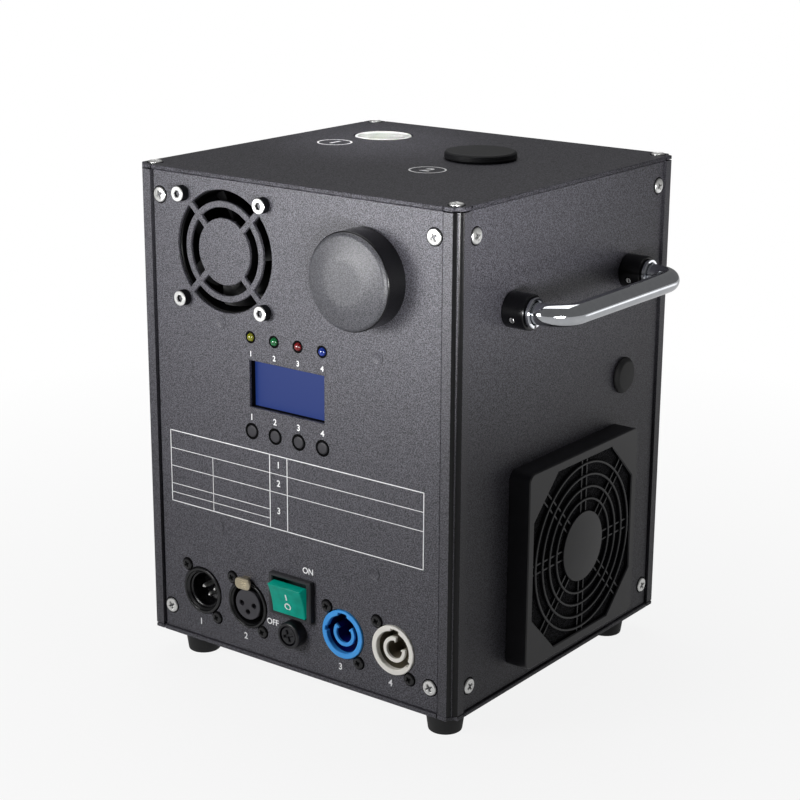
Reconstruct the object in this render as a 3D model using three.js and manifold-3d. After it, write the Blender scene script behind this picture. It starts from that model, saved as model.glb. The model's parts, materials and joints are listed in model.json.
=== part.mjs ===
// Cold spark machine for stage effects: a screw feeds granules into a heated tube, and the
// sparks leave through a nozzle in the top. Millimetres, +Z up, control panel facing -Y.
// The origin lies on the floor, under the middle of the whole machine.
import * as THREE from "three";
import { mergeVertices } from "three/addons/utils/BufferGeometryUtils.js";
import Module from "manifold-3d";

const wasm = await Module();
wasm.setup();

// Clearances
const fit = 0.3; // between two still pieces
const slip = 0.5; // round a piece that moves
const overrun = 1; // how far a cut runs past the face that it opens
const weld = 0.0001; // corners closer than this are one corner
const flatness = 0.002; // corners this close to a flat face are left out of it

// Facets of a full circle
const sides = { small: 8, medium: 12, large: 16, ring: 20 };
const cornerSteps = 2;
const fullTurn = 2 * Math.PI;
const quarterTurn = Math.PI / 2;

// Rows of the control panel, each measured from the one below it
const rows = { sockets: 26.7, menu: 89.3, screen: 23.2, lamps: 22.6, fan: 38.3, top: 36.4 };
// Columns of the control panel: the pitch of the sockets, and from the last socket to the corner
const columns = { sockets: 29.6, margin: 34.8 };

const level = {};
level.sockets = rows.sockets;
level.menu = level.sockets + rows.menu;
level.screen = level.menu + rows.screen;
level.lamps = level.screen + rows.lamps;
level.fan = level.lamps + rows.fan;

// Housing: two plates, four corner posts and four panels that lie back between them
const housing = {
  width: 2 * (2 * columns.sockets + columns.margin),
  depth: 183,
  height: level.fan + rows.top,
};
const plate = { thick: 2, slitWide: 0.8, slitDeep: 1, screwHole: 2.1 };
const post = { face: 8.5, core: 11, reach: 20, flange: 2, flute: 3.7, channel: 1.7, screwInset: 6.3 };
const panel = { thick: 1.5, recess: 1.2, gap: 1, screwInset: 13.8, screwHole: 2.1 };
const foot = {
  insetX: 18, insetY: 19.5, top: 10, bottom: 8, height: 14.5, edge: 1, bore: 2.2, well: 4.5, wellDeep: 9,
};

// Carrying handle on the right side
const handle = { level: 185.5, centres: 100, reach: 28.5, bend: 12, bar: 5, bendSteps: 4 };
const collar = { radius: 8.25, long: 11.5, floor: 2, edge: 0.8 };
const sidePlug = { across: 50, level: 133, radius: 9, proud: 3, stem: 7, stemLong: 5, edge: 1 };

// Fans: the large one behind the right side, the small one behind the control panel
const sideFan = {
  level: 61.2, size: 92, deep: 25, rim: 1.5, tipGap: 1, boltInset: 4.75, boltHole: 2.2, corner: 4,
  hub: 19, hubDeep: 18, strut: 4, strutThick: 3, blades: 9, bladeThick: 1.4, chord: 17, camber: 2.2,
};
const frontFan = {
  across: -40.4, size: 60, deep: 25, rim: 1.5, tipGap: 1, boltInset: 5, boltHole: 2.2, corner: 4,
  hub: 14, hubDeep: 17, strut: 3, strutThick: 3, blades: 7, bladeThick: 1.3, chord: 15, camber: 2,
};
for (const fan of [sideFan, frontFan]) {
  fan.bore = fan.size / 2 - fan.rim;
  fan.tip = fan.bore - fan.tipGap;
  fan.bolts = fan.size - 2 * fan.boltInset;
}
const bladePitch = 0.75; // radians that a blade leans from the plane of the fan
const hubEdge = 1.5;
// Radii of the small fan's grille as shares of half the fan's size, and the width of its spokes
const grille = { disc: 0.53, ringInner: 0.697, ringOuter: 0.797, outer: 0.97 };
const grilleSpoke = 3;
const bolt = { head: 3.7, headHigh: 4.2, socket: 1.6, socketDeep: 2.4, shank: 1.9, nut: 3.4, nutHigh: 3 };

// Filter cover over the large fan. The opening's cut corners and the radii of the disc and the rings
// are shares of half the opening.
const cover = {
  lap: 2, deep: 11.6, wall: 2, face: 2, corner: 4, border: 4.5, openingCut: 0.448,
  disc: 0.398, firstRing: 0.533, ringStep: 0.138, rings: 4, ringWide: 1.2,
  spokes: 8, spokeWide: 0.9, spokeApart: 4.4,
};
const coverSize = sideFan.size + 2 * cover.lap;
const coverInside = coverSize - 2 * cover.wall;
const coverHalf = coverSize / 2 - cover.border;
const filter = { play: 1, thick: 6 };
const panelFanLip = 1.5;

// Menu keys, screen and lamps, on one board behind the control panel
const menu = { across: -3.5, pitch: 14.3, count: 4 };
const key = { radius: 3.1, hole: 3.75, proud: 0.3, flange: 4.2, flangeThick: 1.2, stem: 1.5, travel: 0.5 };
const lamp = { dome: 2.5, hole: 2.65, proud: 3.2, flange: 2.9, flangeThick: 1 };
const screen = {
  wide: 45, high: 22.8, frameWide: 60, frameHigh: 30, deep: 7.2, sunk: 4.3, margin: 0.8, corner: 1,
};
const board = { below: 9, above: 7.5, side: 13, thick: 1.6, back: 12.5, post: 2.5, chip: 10, chipHigh: 2 };
const tact = { size: 6, high: 3.2 };

// Round knob of the clean-out port
const port = { across: 43.7, wall: 1.5, deep: 26, flange: 21, flangeThick: 2, floor: 1.5 };
const cleanPlug = { radius: 15, long: 13, wall: 2, grooveDeep: 0.8, grooveWide: 2, grooveAt: 4 };
const cleanCap = { radius: 22.4, high: 17, rim: 1.3, dish: 1.6, edge: 0.8 };

// Sockets with the usual flange behind the panel
const socket = {
  body: 12, hole: 12.3, proud: 0.8, flangeWide: 26, flangeHigh: 31, flangeThick: 2, corner: 3,
  deep: 22, rear: 11.2,
};
const signalIn = { bore: 9.3, boreDeep: 13, pin: 1.25, pinCircle: 3.6, tipDeep: 5, lip: 10.6, lipDeep: 0.6 };
const signalOut = {
  bore: 9.9, boreDeep: 13, insert: 7.8, insertDeep: 0.6, hole: 1.35, holeCircle: 3.9, holeDeep: 8,
};
const latch = {
  rise: 14, wide: 9.4, high: 6, drop: 2, thick: 1.6, out: 4.2, corner: 2,
  stemWide: 4, stemHigh: 1.4, stemLong: 12, travel: 1.5,
};
const mains = {
  bore: 9.3, boreDeep: 13, core: 5.7, coreBore: 3.4, coreDeep: 1.4, coreGap: 6.4, key: 4.6, keyDeep: 1.2,
};

// Rocker switch
const rocker = {
  across: -0.6, rise: 11.6, wide: 26, high: 21, proud: 3.3, openWide: 20.8, openHigh: 17.8, bodyWall: 1,
  deep: 20, cavity: 7, pivot: 1.7, face: 4, faceDip: 0.8, halfHigh: 8, halfWide: 10,
  shoulder: 7.2, shoulderIn: 1, heel: 3, heelIn: 4, corner: 0.8,
};
const rockerTilt = THREE.MathUtils.degToRad(15);

// Fuse holder below the switch, for a 5 by 20 glass fuse
const fuse = {
  across: 1, drop: 6.4, collar: 6.65, proud: 6.5, thread: 5.8, bore: 4.9, deep: 30, floor: 2,
  nut: 7.3, nutThick: 3,
  cap: 4.4, capLong: 4.5, capSunk: 0.5, slotLong: 6, slotWide: 1.2, slotDeep: 1,
  carrier: 4, carrierLong: 13, pocket: 10, linkRadius: 2.6, linkLong: 20, endCap: 5, neck: 0.2,
};

// Top openings, measured from the left, right and rear edges
const nozzle = { fromLeft: 39, fromRear: 41.5, outer: 14.7, inner: 13.4, floor: 2, throat: 8, gap: 0.5 };
const inlet = {
  fromRight: 67, fromRear: 71.2, plug: 14, cap: 17.7, capHigh: 4, capEdge: 0.8, plugDeep: 10, plugWall: 2,
};
const hopper = {
  radius: 28, wall: 1.5, flange: 32, flangeThick: 2, drum: 44, cone: 32, spout: 6.5, spoutLong: 10,
};

// Feed line and heater, inside the housing
const tower = { radius: 24, top: 185, bore: 11, boreFloor: 50, airPort: 8, airLevel: 62 };
const feed = { level: 140, outer: 8.5, inner: 7.2, behind: 14, neck: 9.5, neckHigh: 12 };
const screw = { flight: 6.5, bar: 1.8, shaft: 2.2, start: 12, turns: 2, steps: 12, nose: 4, shaftBehind: 17 };
const motor = { gear: 12, gearLong: 20, body: 11, bodyLong: 22, shaftHole: 2.7, shaftHoleDeep: 5, edge: 1 };
const supply = {
  right: 6, rear: 14, long: 78, wide: 60, high: 34, base: 2, baseMargin: 4, strip: 12, fin: 1.5, fins: 5,
};

const halfWidth = housing.width / 2;
const halfDepth = housing.depth / 2;
const ceiling = housing.height - plate.thick - fit;
const panelBack = panel.thick + fit; // how far behind a panel's face the next piece may start
const nozzleAt = new THREE.Vector2(nozzle.fromLeft - halfWidth, halfDepth - nozzle.fromRear);
const inletAt = new THREE.Vector2(halfWidth - inlet.fromRight, halfDepth - inlet.fromRear);

// Finishes
const finish = (color, roughness, metalness = 0) =>
  new THREE.MeshStandardMaterial({ color, roughness, metalness, flatShading: true });
const powderCoat = finish("#2d2c30", 0.62);
const powderCoatPanel = finish("#3a393e", 0.62);
const rubber = finish("#151517", 0.85);
const chrome = finish("#d7d9dc", 0.12, 1);
const nickel = finish("#c9c3b4", 0.3, 1);
const zinc = finish("#9a9ca0", 0.45, 1);
const steel = finish("#8c8e92", 0.4, 1);
const blackPlastic = finish("#1c1c1f", 0.5);
const knobPlastic = finish("#242427", 0.7);
const foam = finish("#0d0d0f", 0.95);
const circuitGreen = finish("#1d5a3a", 0.5);
const paleMetal = finish("#ecebe6", 0.35, 0.6);
const clearGlass = finish("#dfe8ea", 0.1);
const screenBlue = finish("#33438a", 0.25);
const socketBlue = finish("#3c9ff2", 0.4);
const socketGrey = finish("#e6e3da", 0.4);
const switchGreen = finish("#0f9a7c", 0.3);
const lampColours = ["#b7c832", "#35b34a", "#e0333c", "#3567d8"];

// Outlines, as lists of points

function arc(radius, from, to, steps, x = 0, y = 0) {
  const points = [];
  for (let i = 0; i <= steps; i += 1) {
    const angle = from + ((to - from) * i) / steps;
    points.push(new THREE.Vector2(x + radius * Math.cos(angle), y + radius * Math.sin(angle)));
  }
  return points;
}

function circle(radius, count, x = 0, y = 0) {
  return arc(radius, 0, fullTurn, count, x, y).slice(0, -1);
}

function rectangle(wide, high, x = 0, y = 0) {
  const signs = [[-1, -1], [1, -1], [1, 1], [-1, 1]];
  return signs.map(([h, v]) => new THREE.Vector2(x + (h * wide) / 2, y + (v * high) / 2));
}

function roundedRectangle(wide, high, radius, x = 0, y = 0) {
  const signs = [[1, 1], [-1, 1], [-1, -1], [1, -1]];
  return signs.flatMap(([h, v], i) => {
    const centreX = x + h * (wide / 2 - radius);
    const centreY = y + v * (high / 2 - radius);
    return arc(radius, i * quarterTurn, (i + 1) * quarterTurn, cornerSteps, centreX, centreY);
  });
}

// Geometry. A prism is drawn in XY and rises from a height, and a turned shape spins about Z.

function prism(outline, thick, from = 0, holes = []) {
  const shape = new THREE.Shape(outline);
  shape.holes = holes.map((hole) => new THREE.Path(hole));
  const geometry = new THREE.ExtrudeGeometry(shape, { depth: thick, bevelEnabled: false });
  return geometry.translate(0, 0, from);
}

// The profile lists [radius, height] pairs, anticlockwise with the axis on the left
function turned(profile, count, x = 0, y = 0) {
  const points = [...profile, profile[0]].map(([radius, height]) => new THREE.Vector2(radius, height));
  return new THREE.LatheGeometry(points, count).rotateX(quarterTurn).translate(x, y, 0);
}

function cylinder(radius, from, to, count, x = 0, y = 0) {
  return turned([[0, from], [radius, from], [radius, to], [0, to]], count, x, y);
}

// A round bar along a line of points in the XZ plane
function bentBar(path, radius, count) {
  const position = [];
  const index = [];
  const last = path.length - 1;
  path.forEach((point, i) => {
    const along = path[Math.min(i + 1, last)].clone().sub(path[Math.max(i - 1, 0)]).normalize();
    for (const spot of circle(radius, count)) {
      position.push(point.x - along.y * spot.x, -spot.y, point.y + along.x * spot.x);
    }
  });
  for (let k = 0; k < count; k += 1) {
    const next = (k + 1) % count;
    for (let ring = 0; ring < last * count; ring += count) {
      index.push(ring + k, ring + next, ring + count + next, ring + k, ring + count + next, ring + count + k);
    }
    const end = last * count;
    if (k > 0 && k < count - 1) index.push(0, next, k, end, end + k, end + next);
  }
  const geometry = new THREE.BufferGeometry();
  geometry.setAttribute("position", new THREE.Float32BufferAttribute(position, 3));
  geometry.setIndex(index);
  geometry.userData.joined = true;
  return geometry;
}

function solidOf(geometry) {
  let whole = geometry;
  if (!geometry.userData.joined) {
    geometry.deleteAttribute("normal");
    geometry.deleteAttribute("uv");
    whole = mergeVertices(geometry, weld);
  }
  const at = whole.getIndex().array;
  const corners = [];
  for (let i = 0; i < at.length; i += 3) {
    const flat = at[i] === at[i + 1] || at[i + 1] === at[i + 2] || at[i + 2] === at[i];
    if (!flat) corners.push(at[i], at[i + 1], at[i + 2]);
  }
  const vertProperties = new Float32Array(whole.getAttribute("position").array);
  const triVerts = new Uint32Array(corners);
  return new wasm.Manifold(new wasm.Mesh({ numProp: 3, vertProperties, triVerts }));
}

function geometryOf(solid) {
  const { vertProperties, triVerts } = solid.asOriginal().simplify(flatness).getMesh();
  const geometry = new THREE.BufferGeometry();
  geometry.setAttribute("position", new THREE.BufferAttribute(new Float32Array(vertProperties), 3));
  geometry.setIndex(new THREE.BufferAttribute(new Uint32Array(triVerts), 1));
  geometry.userData.joined = true;
  return geometry;
}

const combine = (way) => (first, ...others) =>
  geometryOf(others.map(solidOf).reduce((whole, next) => whole[way](next), solidOf(first)));
const join = combine("add");
const cut = combine("subtract");
const common = combine("intersect");

function piece(parent, name, geometry, material) {
  const flat = geometryOf(solidOf(geometry)).toNonIndexed();
  flat.computeVertexNormals();
  const mesh = new THREE.Mesh(flat, material);
  mesh.name = name;
  parent.add(mesh);
  return mesh;
}

// A group on one face of the housing: X to the right along the face, Y up, Z out of the panel
function faceGroup(parent, centre, right, out) {
  const up = new THREE.Vector3(0, 0, 1);
  const group = new THREE.Group();
  group.quaternion.setFromRotationMatrix(new THREE.Matrix4().makeBasis(right, up, out));
  group.position.copy(centre);
  parent.add(group);
  return group;
}

// Plates, posts and feet

// A rectangle with a flute at each corner and a slit in the edge beside each post
function plateOutline() {
  const corners = [[-1, -1], [1, -1], [1, 1], [-1, 1]];
  const centre = new THREE.Vector2();
  const slitAt = post.face + panel.gap / 2;
  return corners.flatMap(([h, v], side) => {
    const start = new THREE.Vector2(h * halfWidth, v * halfDepth);
    const long = side % 2 === 0 ? housing.width : housing.depth;
    const flute = arc(post.flute, quarterTurn, 0, cornerSteps + 1);
    const slits = [slitAt, long - slitAt].flatMap((at) => [
      new THREE.Vector2(at - plate.slitWide / 2, 0),
      new THREE.Vector2(at - plate.slitWide / 2, plate.slitDeep),
      new THREE.Vector2(at + plate.slitWide / 2, plate.slitDeep),
      new THREE.Vector2(at + plate.slitWide / 2, 0),
    ]);
    return [...flute, ...slits].map((point) => point.rotateAround(centre, side * quarterTurn).add(start));
  });
}

function fourCorners(x, y) {
  return [[-x, -y], [x, -y], [x, y], [-x, y]];
}

const footPlaces = fourCorners(halfWidth - foot.insetX, halfDepth - foot.insetY);
const cornerNames = ["front_left", "front_right", "rear_right", "rear_left"];

function addPlates(parent) {
  const footHoles = footPlaces.map(([x, y]) => circle(foot.bore, sides.small, x, y));
  piece(parent, "bottom_plate", prism(plateOutline(), plate.thick, 0, footHoles), powderCoat);

  const screwPlaces = fourCorners(halfWidth - post.screwInset, halfDepth - post.screwInset);
  const topHoles = [
    ...screwPlaces.map(([x, y]) => circle(plate.screwHole, sides.small, x, y)),
    circle(nozzle.outer + nozzle.gap, sides.large, nozzleAt.x, nozzleAt.y),
    circle(inlet.plug + slip, sides.large, inletAt.x, inletAt.y),
  ];
  const top = prism(plateOutline(), plate.thick, housing.height - plate.thick, topHoles);
  piece(parent, "top_cover", top, powderCoat);
}

function postOutline() {
  const seat = panel.recess + panelBack;
  const back = seat + post.flange;
  const { face, core, reach, flute } = post;
  const points = [
    [face, 0], [face, seat], [reach, seat], [reach, back], [core, back], [core, core],
    [back, core], [back, reach], [seat, reach], [seat, face], [0, face],
  ];
  return [...points.map(([x, y]) => new THREE.Vector2(x, y)), ...arc(flute, quarterTurn, 0, cornerSteps + 1)];
}

function addPosts(parent) {
  const channel = circle(post.channel, sides.small, post.screwInset, post.screwInset);
  const low = plate.thick + fit;
  fourCorners(halfWidth, halfDepth).forEach(([x, y], i) => {
    const profile = prism(postOutline(), ceiling - low, low, [channel]);
    const mesh = piece(parent, `corner_post_${cornerNames[i]}`, profile, powderCoat);
    mesh.rotation.z = i * quarterTurn;
    mesh.position.set(x, y, 0);
  });
}

function addFeet(parent) {
  const profile = [
    [foot.well, -foot.height],
    [foot.bottom - foot.edge, -foot.height],
    [foot.bottom, foot.edge - foot.height],
    [foot.top, -fit],
    [foot.bore, -fit],
    [foot.bore, foot.wellDeep - foot.height],
    [foot.well, foot.wellDeep - foot.height],
  ];
  footPlaces.forEach(([x, y], i) => {
    const mesh = piece(parent, `foot_${cornerNames[i]}`, turned(profile, sides.medium), rubber);
    mesh.position.set(x, y, 0);
  });
}

// Panels

function panelBlank(faceWide, holes = []) {
  const wide = faceWide - 2 * (post.face + panel.gap);
  const low = plate.thick + fit;
  const across = faceWide / 2 - panel.screwInset;
  const heights = [panel.screwInset, housing.height - panel.screwInset];
  const places = heights.flatMap((y) => [[-across, y], [across, y]]);
  const screwHoles = places.map(([x, y]) => circle(panel.screwHole, sides.small, x, y));
  const outline = rectangle(wide, ceiling - low, 0, housing.height / 2);
  return prism(outline, panel.thick, -panel.thick, [...screwHoles, ...holes]);
}

// One curved slot between two diagonal spokes of the small fan's grille
function grilleSlot(inner, outer, first) {
  const start = Math.PI / 4 + first * quarterTurn;
  const end = start + quarterTurn;
  const lean = (radius) => Math.asin(grilleSpoke / 2 / radius);
  const steps = sides.ring / 4;
  return [
    ...arc(outer, start + lean(outer), end - lean(outer), steps, frontFan.across, level.fan),
    ...arc(inner, end - lean(inner), start + lean(inner), steps, frontFan.across, level.fan),
  ];
}

function menuPlaces() {
  const places = [];
  for (let i = 0; i < menu.count; i += 1) {
    places.push(menu.across + (i - (menu.count - 1) / 2) * menu.pitch);
  }
  return places;
}

const socketPlaces = [-2, -1, 1, 2].map((step) => step * columns.sockets);
const rockerLevel = level.sockets + rocker.rise;
const fuseLevel = level.sockets - fuse.drop;
const latchLevel = level.sockets + latch.rise;

function frontHoles() {
  const boltPlaces = fourCorners(frontFan.bolts / 2, frontFan.bolts / 2);
  const reach = frontFan.size / 2;
  const slots = [0, 1, 2, 3].flatMap((first) => [
    grilleSlot(grille.disc * reach, grille.ringInner * reach, first),
    grilleSlot(grille.ringOuter * reach, grille.outer * reach, first),
  ]);
  const switchWide = rocker.openWide + 2 * (rocker.bodyWall + fit);
  const switchHigh = rocker.openHigh + 2 * (rocker.bodyWall + fit);
  return [
    ...slots,
    ...boltPlaces.map(([x, y]) => circle(frontFan.boltHole, sides.small, frontFan.across + x, level.fan + y)),
    circle(cleanPlug.radius + slip, sides.large, port.across, level.fan),
    ...menuPlaces().map((x) => circle(lamp.hole, sides.small, x, level.lamps)),
    ...menuPlaces().map((x) => circle(key.hole, sides.medium, x, level.menu)),
    rectangle(screen.wide, screen.high, menu.across, level.screen),
    ...socketPlaces.map((x) => circle(socket.hole, sides.large, x, level.sockets)),
    rectangle(latch.stemWide + 2 * slip, latch.stemHigh + 2 * slip, socketPlaces[1], latchLevel),
    rectangle(switchWide, switchHigh, rocker.across, rockerLevel),
    circle(fuse.thread + fit, sides.medium, fuse.across, fuseLevel),
  ];
}

function sideHoles() {
  const boltPlaces = fourCorners(sideFan.bolts / 2, sideFan.bolts / 2);
  return [
    circle(sideFan.bore - panelFanLip, sides.ring, 0, sideFan.level),
    ...boltPlaces.map(([x, y]) => circle(sideFan.boltHole, sides.small, x, sideFan.level + y)),
    circle(sidePlug.stem + fit, sides.medium, sidePlug.across, sidePlug.level),
  ];
}

// Fans, drawn with the front of the frame at Z zero and the blades facing +Z

function fanFrame(fan) {
  const outer = roundedRectangle(fan.size, fan.size, fan.corner);
  const bore = circle(fan.bore, sides.ring);
  const places = fourCorners(fan.bolts / 2, fan.bolts / 2);
  const holes = places.map(([x, y]) => circle(fan.boltHole, sides.small, x, y));
  const strutLong = 2 * fan.bore + overrun;
  const struts = [rectangle(strutLong, fan.strut), rectangle(fan.strut, strutLong)];
  return join(
    prism(outer, fan.deep, -fan.deep, [bore, ...holes]),
    ...struts.map((outline) => prism(outline, fan.strutThick, -fan.deep)),
    cylinder(fan.hub, -fan.deep, fan.strutThick - fan.deep, sides.medium),
  );
}

// A curved blade section, standing along Z, that is extruded outwards and trimmed at the tip
function bladeBar(fan) {
  const steps = 3;
  const line = (offset) => {
    const points = [];
    for (let i = 0; i <= steps; i += 1) {
      const share = (2 * i) / steps - 1;
      const bow = fan.camber * (1 - share * share);
      points.push(new THREE.Vector2((share * fan.chord) / 2, bow + offset));
    }
    return points;
  };
  const outline = [...line(-fan.bladeThick / 2), ...line(fan.bladeThick / 2).reverse()];
  return prism(outline, fan.tip).rotateZ(bladePitch).rotateY(quarterTurn);
}

function fanRotor(fan) {
  const front = -slip;
  const back = slip + fan.strutThick - fan.deep;
  const hubBack = front - fan.hubDeep;
  const hubProfile = [
    [0, hubBack],
    [fan.hub, hubBack],
    [fan.hub, front - hubEdge],
    [fan.hub - hubEdge, front],
    [0, front],
  ];
  const hub = turned(hubProfile, sides.medium);
  const space = turned([[0, back], [fan.tip, back], [fan.tip, front], [0, front]], sides.ring);
  const blades = [];
  for (let i = 0; i < fan.blades; i += 1) {
    const blade = bladeBar(fan).translate(0, 0, (front + hubBack) / 2);
    blades.push(blade.rotateZ((i * fullTurn) / fan.blades));
  }
  return join(hub, common(join(...blades), space));
}

function addFrontFan(face) {
  const group = new THREE.Group();
  group.position.set(frontFan.across, level.fan, -panelBack);
  face.add(group);
  piece(group, "front_fan_frame", fanFrame(frontFan), blackPlastic);
  piece(group, "front_fan_rotor", fanRotor(frontFan), blackPlastic);

  const seat = panelBack + fit;
  const far = -frontFan.deep - fit;
  fourCorners(frontFan.bolts / 2, frontFan.bolts / 2).forEach(([x, y], i) => {
    const shank = cylinder(bolt.shank, far - bolt.nutHigh, seat + bolt.headHigh, sides.small, x, y);
    const head = cylinder(bolt.head, seat, seat + bolt.headHigh, sides.medium, x, y);
    const nut = cylinder(bolt.nut, far - bolt.nutHigh, far, 6, x, y);
    const socketTop = seat + bolt.headHigh;
    const hexagon = cylinder(bolt.socket, socketTop - bolt.socketDeep, socketTop + overrun, 6, x, y);
    piece(group, `fan_bolt_${i + 1}`, cut(join(shank, head, nut), hexagon), nickel);
  });
}

function addSideFan(face) {
  const group = new THREE.Group();
  group.position.set(0, sideFan.level, -panelBack);
  face.add(group);
  piece(group, "side_fan_frame", fanFrame(sideFan), blackPlastic);
  piece(group, "side_fan_rotor", fanRotor(sideFan), blackPlastic);
}

// Filter cover: a face with an eight-sided opening, crossed by rings and paired spokes, and the walls
// behind it. They are one moulding, drawn as two pieces so that collision leaves the inside open.

function coverGrille() {
  const front = cover.deep - cover.face;
  const disc = cover.disc * coverHalf;
  const bars = [cylinder(disc, front, cover.deep, sides.large)];
  for (let i = 0; i < cover.rings; i += 1) {
    const radius = (cover.firstRing + i * cover.ringStep) * coverHalf;
    const inside = circle(radius - cover.ringWide / 2, sides.ring);
    bars.push(prism(circle(radius + cover.ringWide / 2, sides.ring), cover.face, front, [inside]));
  }
  for (let i = 0; i < cover.spokes; i += 1) {
    for (const side of [-1, 1]) {
      const long = coverHalf + cover.wall - disc + overrun;
      const middle = disc - overrun + long / 2;
      const outline = rectangle(long, cover.spokeWide, middle, (side * cover.spokeApart) / 2);
      bars.push(prism(outline, cover.face, front).rotateZ((i * fullTurn) / cover.spokes));
    }
  }
  return join(...bars);
}

function addFilterCover(face) {
  const group = new THREE.Group();
  group.position.set(0, sideFan.level, 0);
  face.add(group);

  const half = coverHalf;
  const short = half - cover.openingCut * half;
  const eightSides = [
    [short, -half], [half, -short], [half, short], [short, half],
    [-short, half], [-half, short], [-half, -short], [-short, -half],
  ].map(([x, y]) => new THREE.Vector2(x, y));
  const faceLow = cover.deep - cover.face;
  const outside = roundedRectangle(coverSize, coverSize, cover.corner);
  const inside = roundedRectangle(coverInside, coverInside, cover.corner - cover.wall);
  const border = prism(outside, cover.face, faceLow, [eightSides]);
  const trim = prism(inside, cover.face, faceLow);
  piece(group, "fan_cover", join(border, common(coverGrille(), trim)), blackPlastic);
  piece(group, "fan_cover_wall", prism(outside, faceLow - 2 * fit, fit, [inside]), blackPlastic);

  const padTop = faceLow - fit;
  const padSize = coverInside - 2 * filter.play;
  const pad = prism(rectangle(padSize, padSize), filter.thick, padTop - filter.thick);
  piece(group, "filter_foam", pad, foam);
}

// Handle, and the plug that fills the hole above the filter cover

// The centre line of the bar, as X along the side and Y outwards
function handlePath() {
  const side = handle.centres / 2;
  const low = fit + collar.floor + fit;
  const shoulder = handle.reach - handle.bend;
  return [
    new THREE.Vector2(-side, low),
    ...arc(handle.bend, Math.PI, quarterTurn, handle.bendSteps, handle.bend - side, shoulder),
    ...arc(handle.bend, quarterTurn, 0, handle.bendSteps, side - handle.bend, shoulder),
    new THREE.Vector2(side, low),
  ];
}

function addHandle(face) {
  const group = new THREE.Group();
  group.position.set(0, handle.level, 0);
  face.add(group);
  piece(group, "handle_bar", bentBar(handlePath(), handle.bar, sides.medium), chrome);

  const top = fit + collar.long;
  const bore = handle.bar + fit;
  const profile = [
    [0, fit],
    [collar.radius, fit],
    [collar.radius, top - collar.edge],
    [collar.radius - collar.edge, top],
    [bore, top],
    [bore, fit + collar.floor],
    [0, fit + collar.floor],
  ];
  const ends = { handle_collar_front: -1, handle_collar_rear: 1 };
  for (const [name, side] of Object.entries(ends)) {
    const mesh = piece(group, name, turned(profile, sides.medium), blackPlastic);
    mesh.position.set((side * handle.centres) / 2, 0, 0);
  }
}

function addSidePlug(face) {
  const profile = [
    [0, -sidePlug.stemLong],
    [sidePlug.stem - sidePlug.edge, -sidePlug.stemLong],
    [sidePlug.stem, sidePlug.edge - sidePlug.stemLong],
    [sidePlug.stem, fit],
    [sidePlug.radius, fit],
    [sidePlug.radius, sidePlug.proud - sidePlug.edge],
    [sidePlug.radius - sidePlug.edge, sidePlug.proud],
    [0, sidePlug.proud],
  ];
  const mesh = piece(face, "side_plug", turned(profile, sides.medium), rubber);
  mesh.position.set(sidePlug.across, sidePlug.level, 0);
}

// Screen, keys, lamps and their board

function addMenu(face) {
  const frameTop = -panelBack;
  const frameShape = roundedRectangle(screen.frameWide, screen.frameHigh, screen.corner);
  const frame = prism(frameShape, screen.deep, frameTop - screen.deep);
  const windowWide = screen.wide + 2 * screen.margin;
  const windowHigh = screen.high + 2 * screen.margin;
  const glassTop = -screen.sunk;
  const window = prism(rectangle(windowWide, windowHigh), frameTop + overrun - glassTop, glassTop);
  piece(face, "lcd_module", cut(frame, window), screenBlue).position.set(menu.across, level.screen, 0);

  const flangeTop = -panelBack;
  const flangeLow = flangeTop - key.flangeThick;
  const stemEnd = tact.high - board.back + key.travel + fit;
  const keyProfile = [
    [0, stemEnd],
    [key.stem, stemEnd],
    [key.stem, flangeLow],
    [key.flange, flangeLow],
    [key.flange, flangeTop],
    [key.radius, flangeTop],
    [key.radius, key.proud],
    [0, key.proud],
  ];
  menuPlaces().forEach((x, i) => {
    const mesh = piece(face, `menu_button_${i + 1}`, turned(keyProfile, sides.medium), blackPlastic);
    mesh.position.set(x, level.menu, 0);
  });

  const domeArc = arc(lamp.dome, 0, quarterTurn, cornerSteps + 1);
  const dome = domeArc.map((point) => [point.x, point.y + lamp.proud - lamp.dome]);
  const lampProfile = [
    [0, fit - board.back],
    [lamp.flange, fit - board.back],
    [lamp.flange, -panelBack],
    [lamp.dome, -panelBack],
    ...dome.slice(0, -1),
    [0, lamp.proud],
  ];
  menuPlaces().forEach((x, i) => {
    const colour = finish(lampColours[i], 0.3);
    const mesh = piece(face, `status_led_${i + 1}`, turned(lampProfile, sides.small), colour);
    mesh.position.set(x, level.lamps, 0);
  });
}

function addBoard(face) {
  const wide = (menu.count - 1) * menu.pitch + 2 * board.side;
  const low = level.menu - board.below;
  const high = level.lamps + board.above;
  const back = -board.back - board.thick;
  const sheet = prism(rectangle(wide, high - low, 0, (low + high) / 2), board.thick, back);

  const inset = board.post + fit;
  const across = wide / 2 - inset;
  const places = [low + inset, high - inset].flatMap((y) => [[-across, y], [across, y]]);
  const standoffs = places.map(([x, y]) =>
    cylinder(board.post, -board.back - board.thick / 2, -panelBack - fit, sides.small, x, y),
  );
  const switches = menuPlaces().map((x) => {
    const outline = rectangle(tact.size, tact.size, x - menu.across, level.menu);
    return prism(outline, tact.high + board.thick / 2, back + board.thick / 2);
  });
  const chips = [-1, 1].map((side) => {
    const outline = rectangle(board.chip, board.chip, side * board.chip, level.screen);
    return prism(outline, board.chipHigh + board.thick / 2, back - board.chipHigh);
  });
  const geometry = join(sheet, ...standoffs, ...switches, ...chips);
  piece(face, "control_board", geometry, circuitGreen).position.set(menu.across, 0, 0);
}

// Clean-out port: a cup behind the panel, the plug in it and the round knob that turns on the plug

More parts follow.
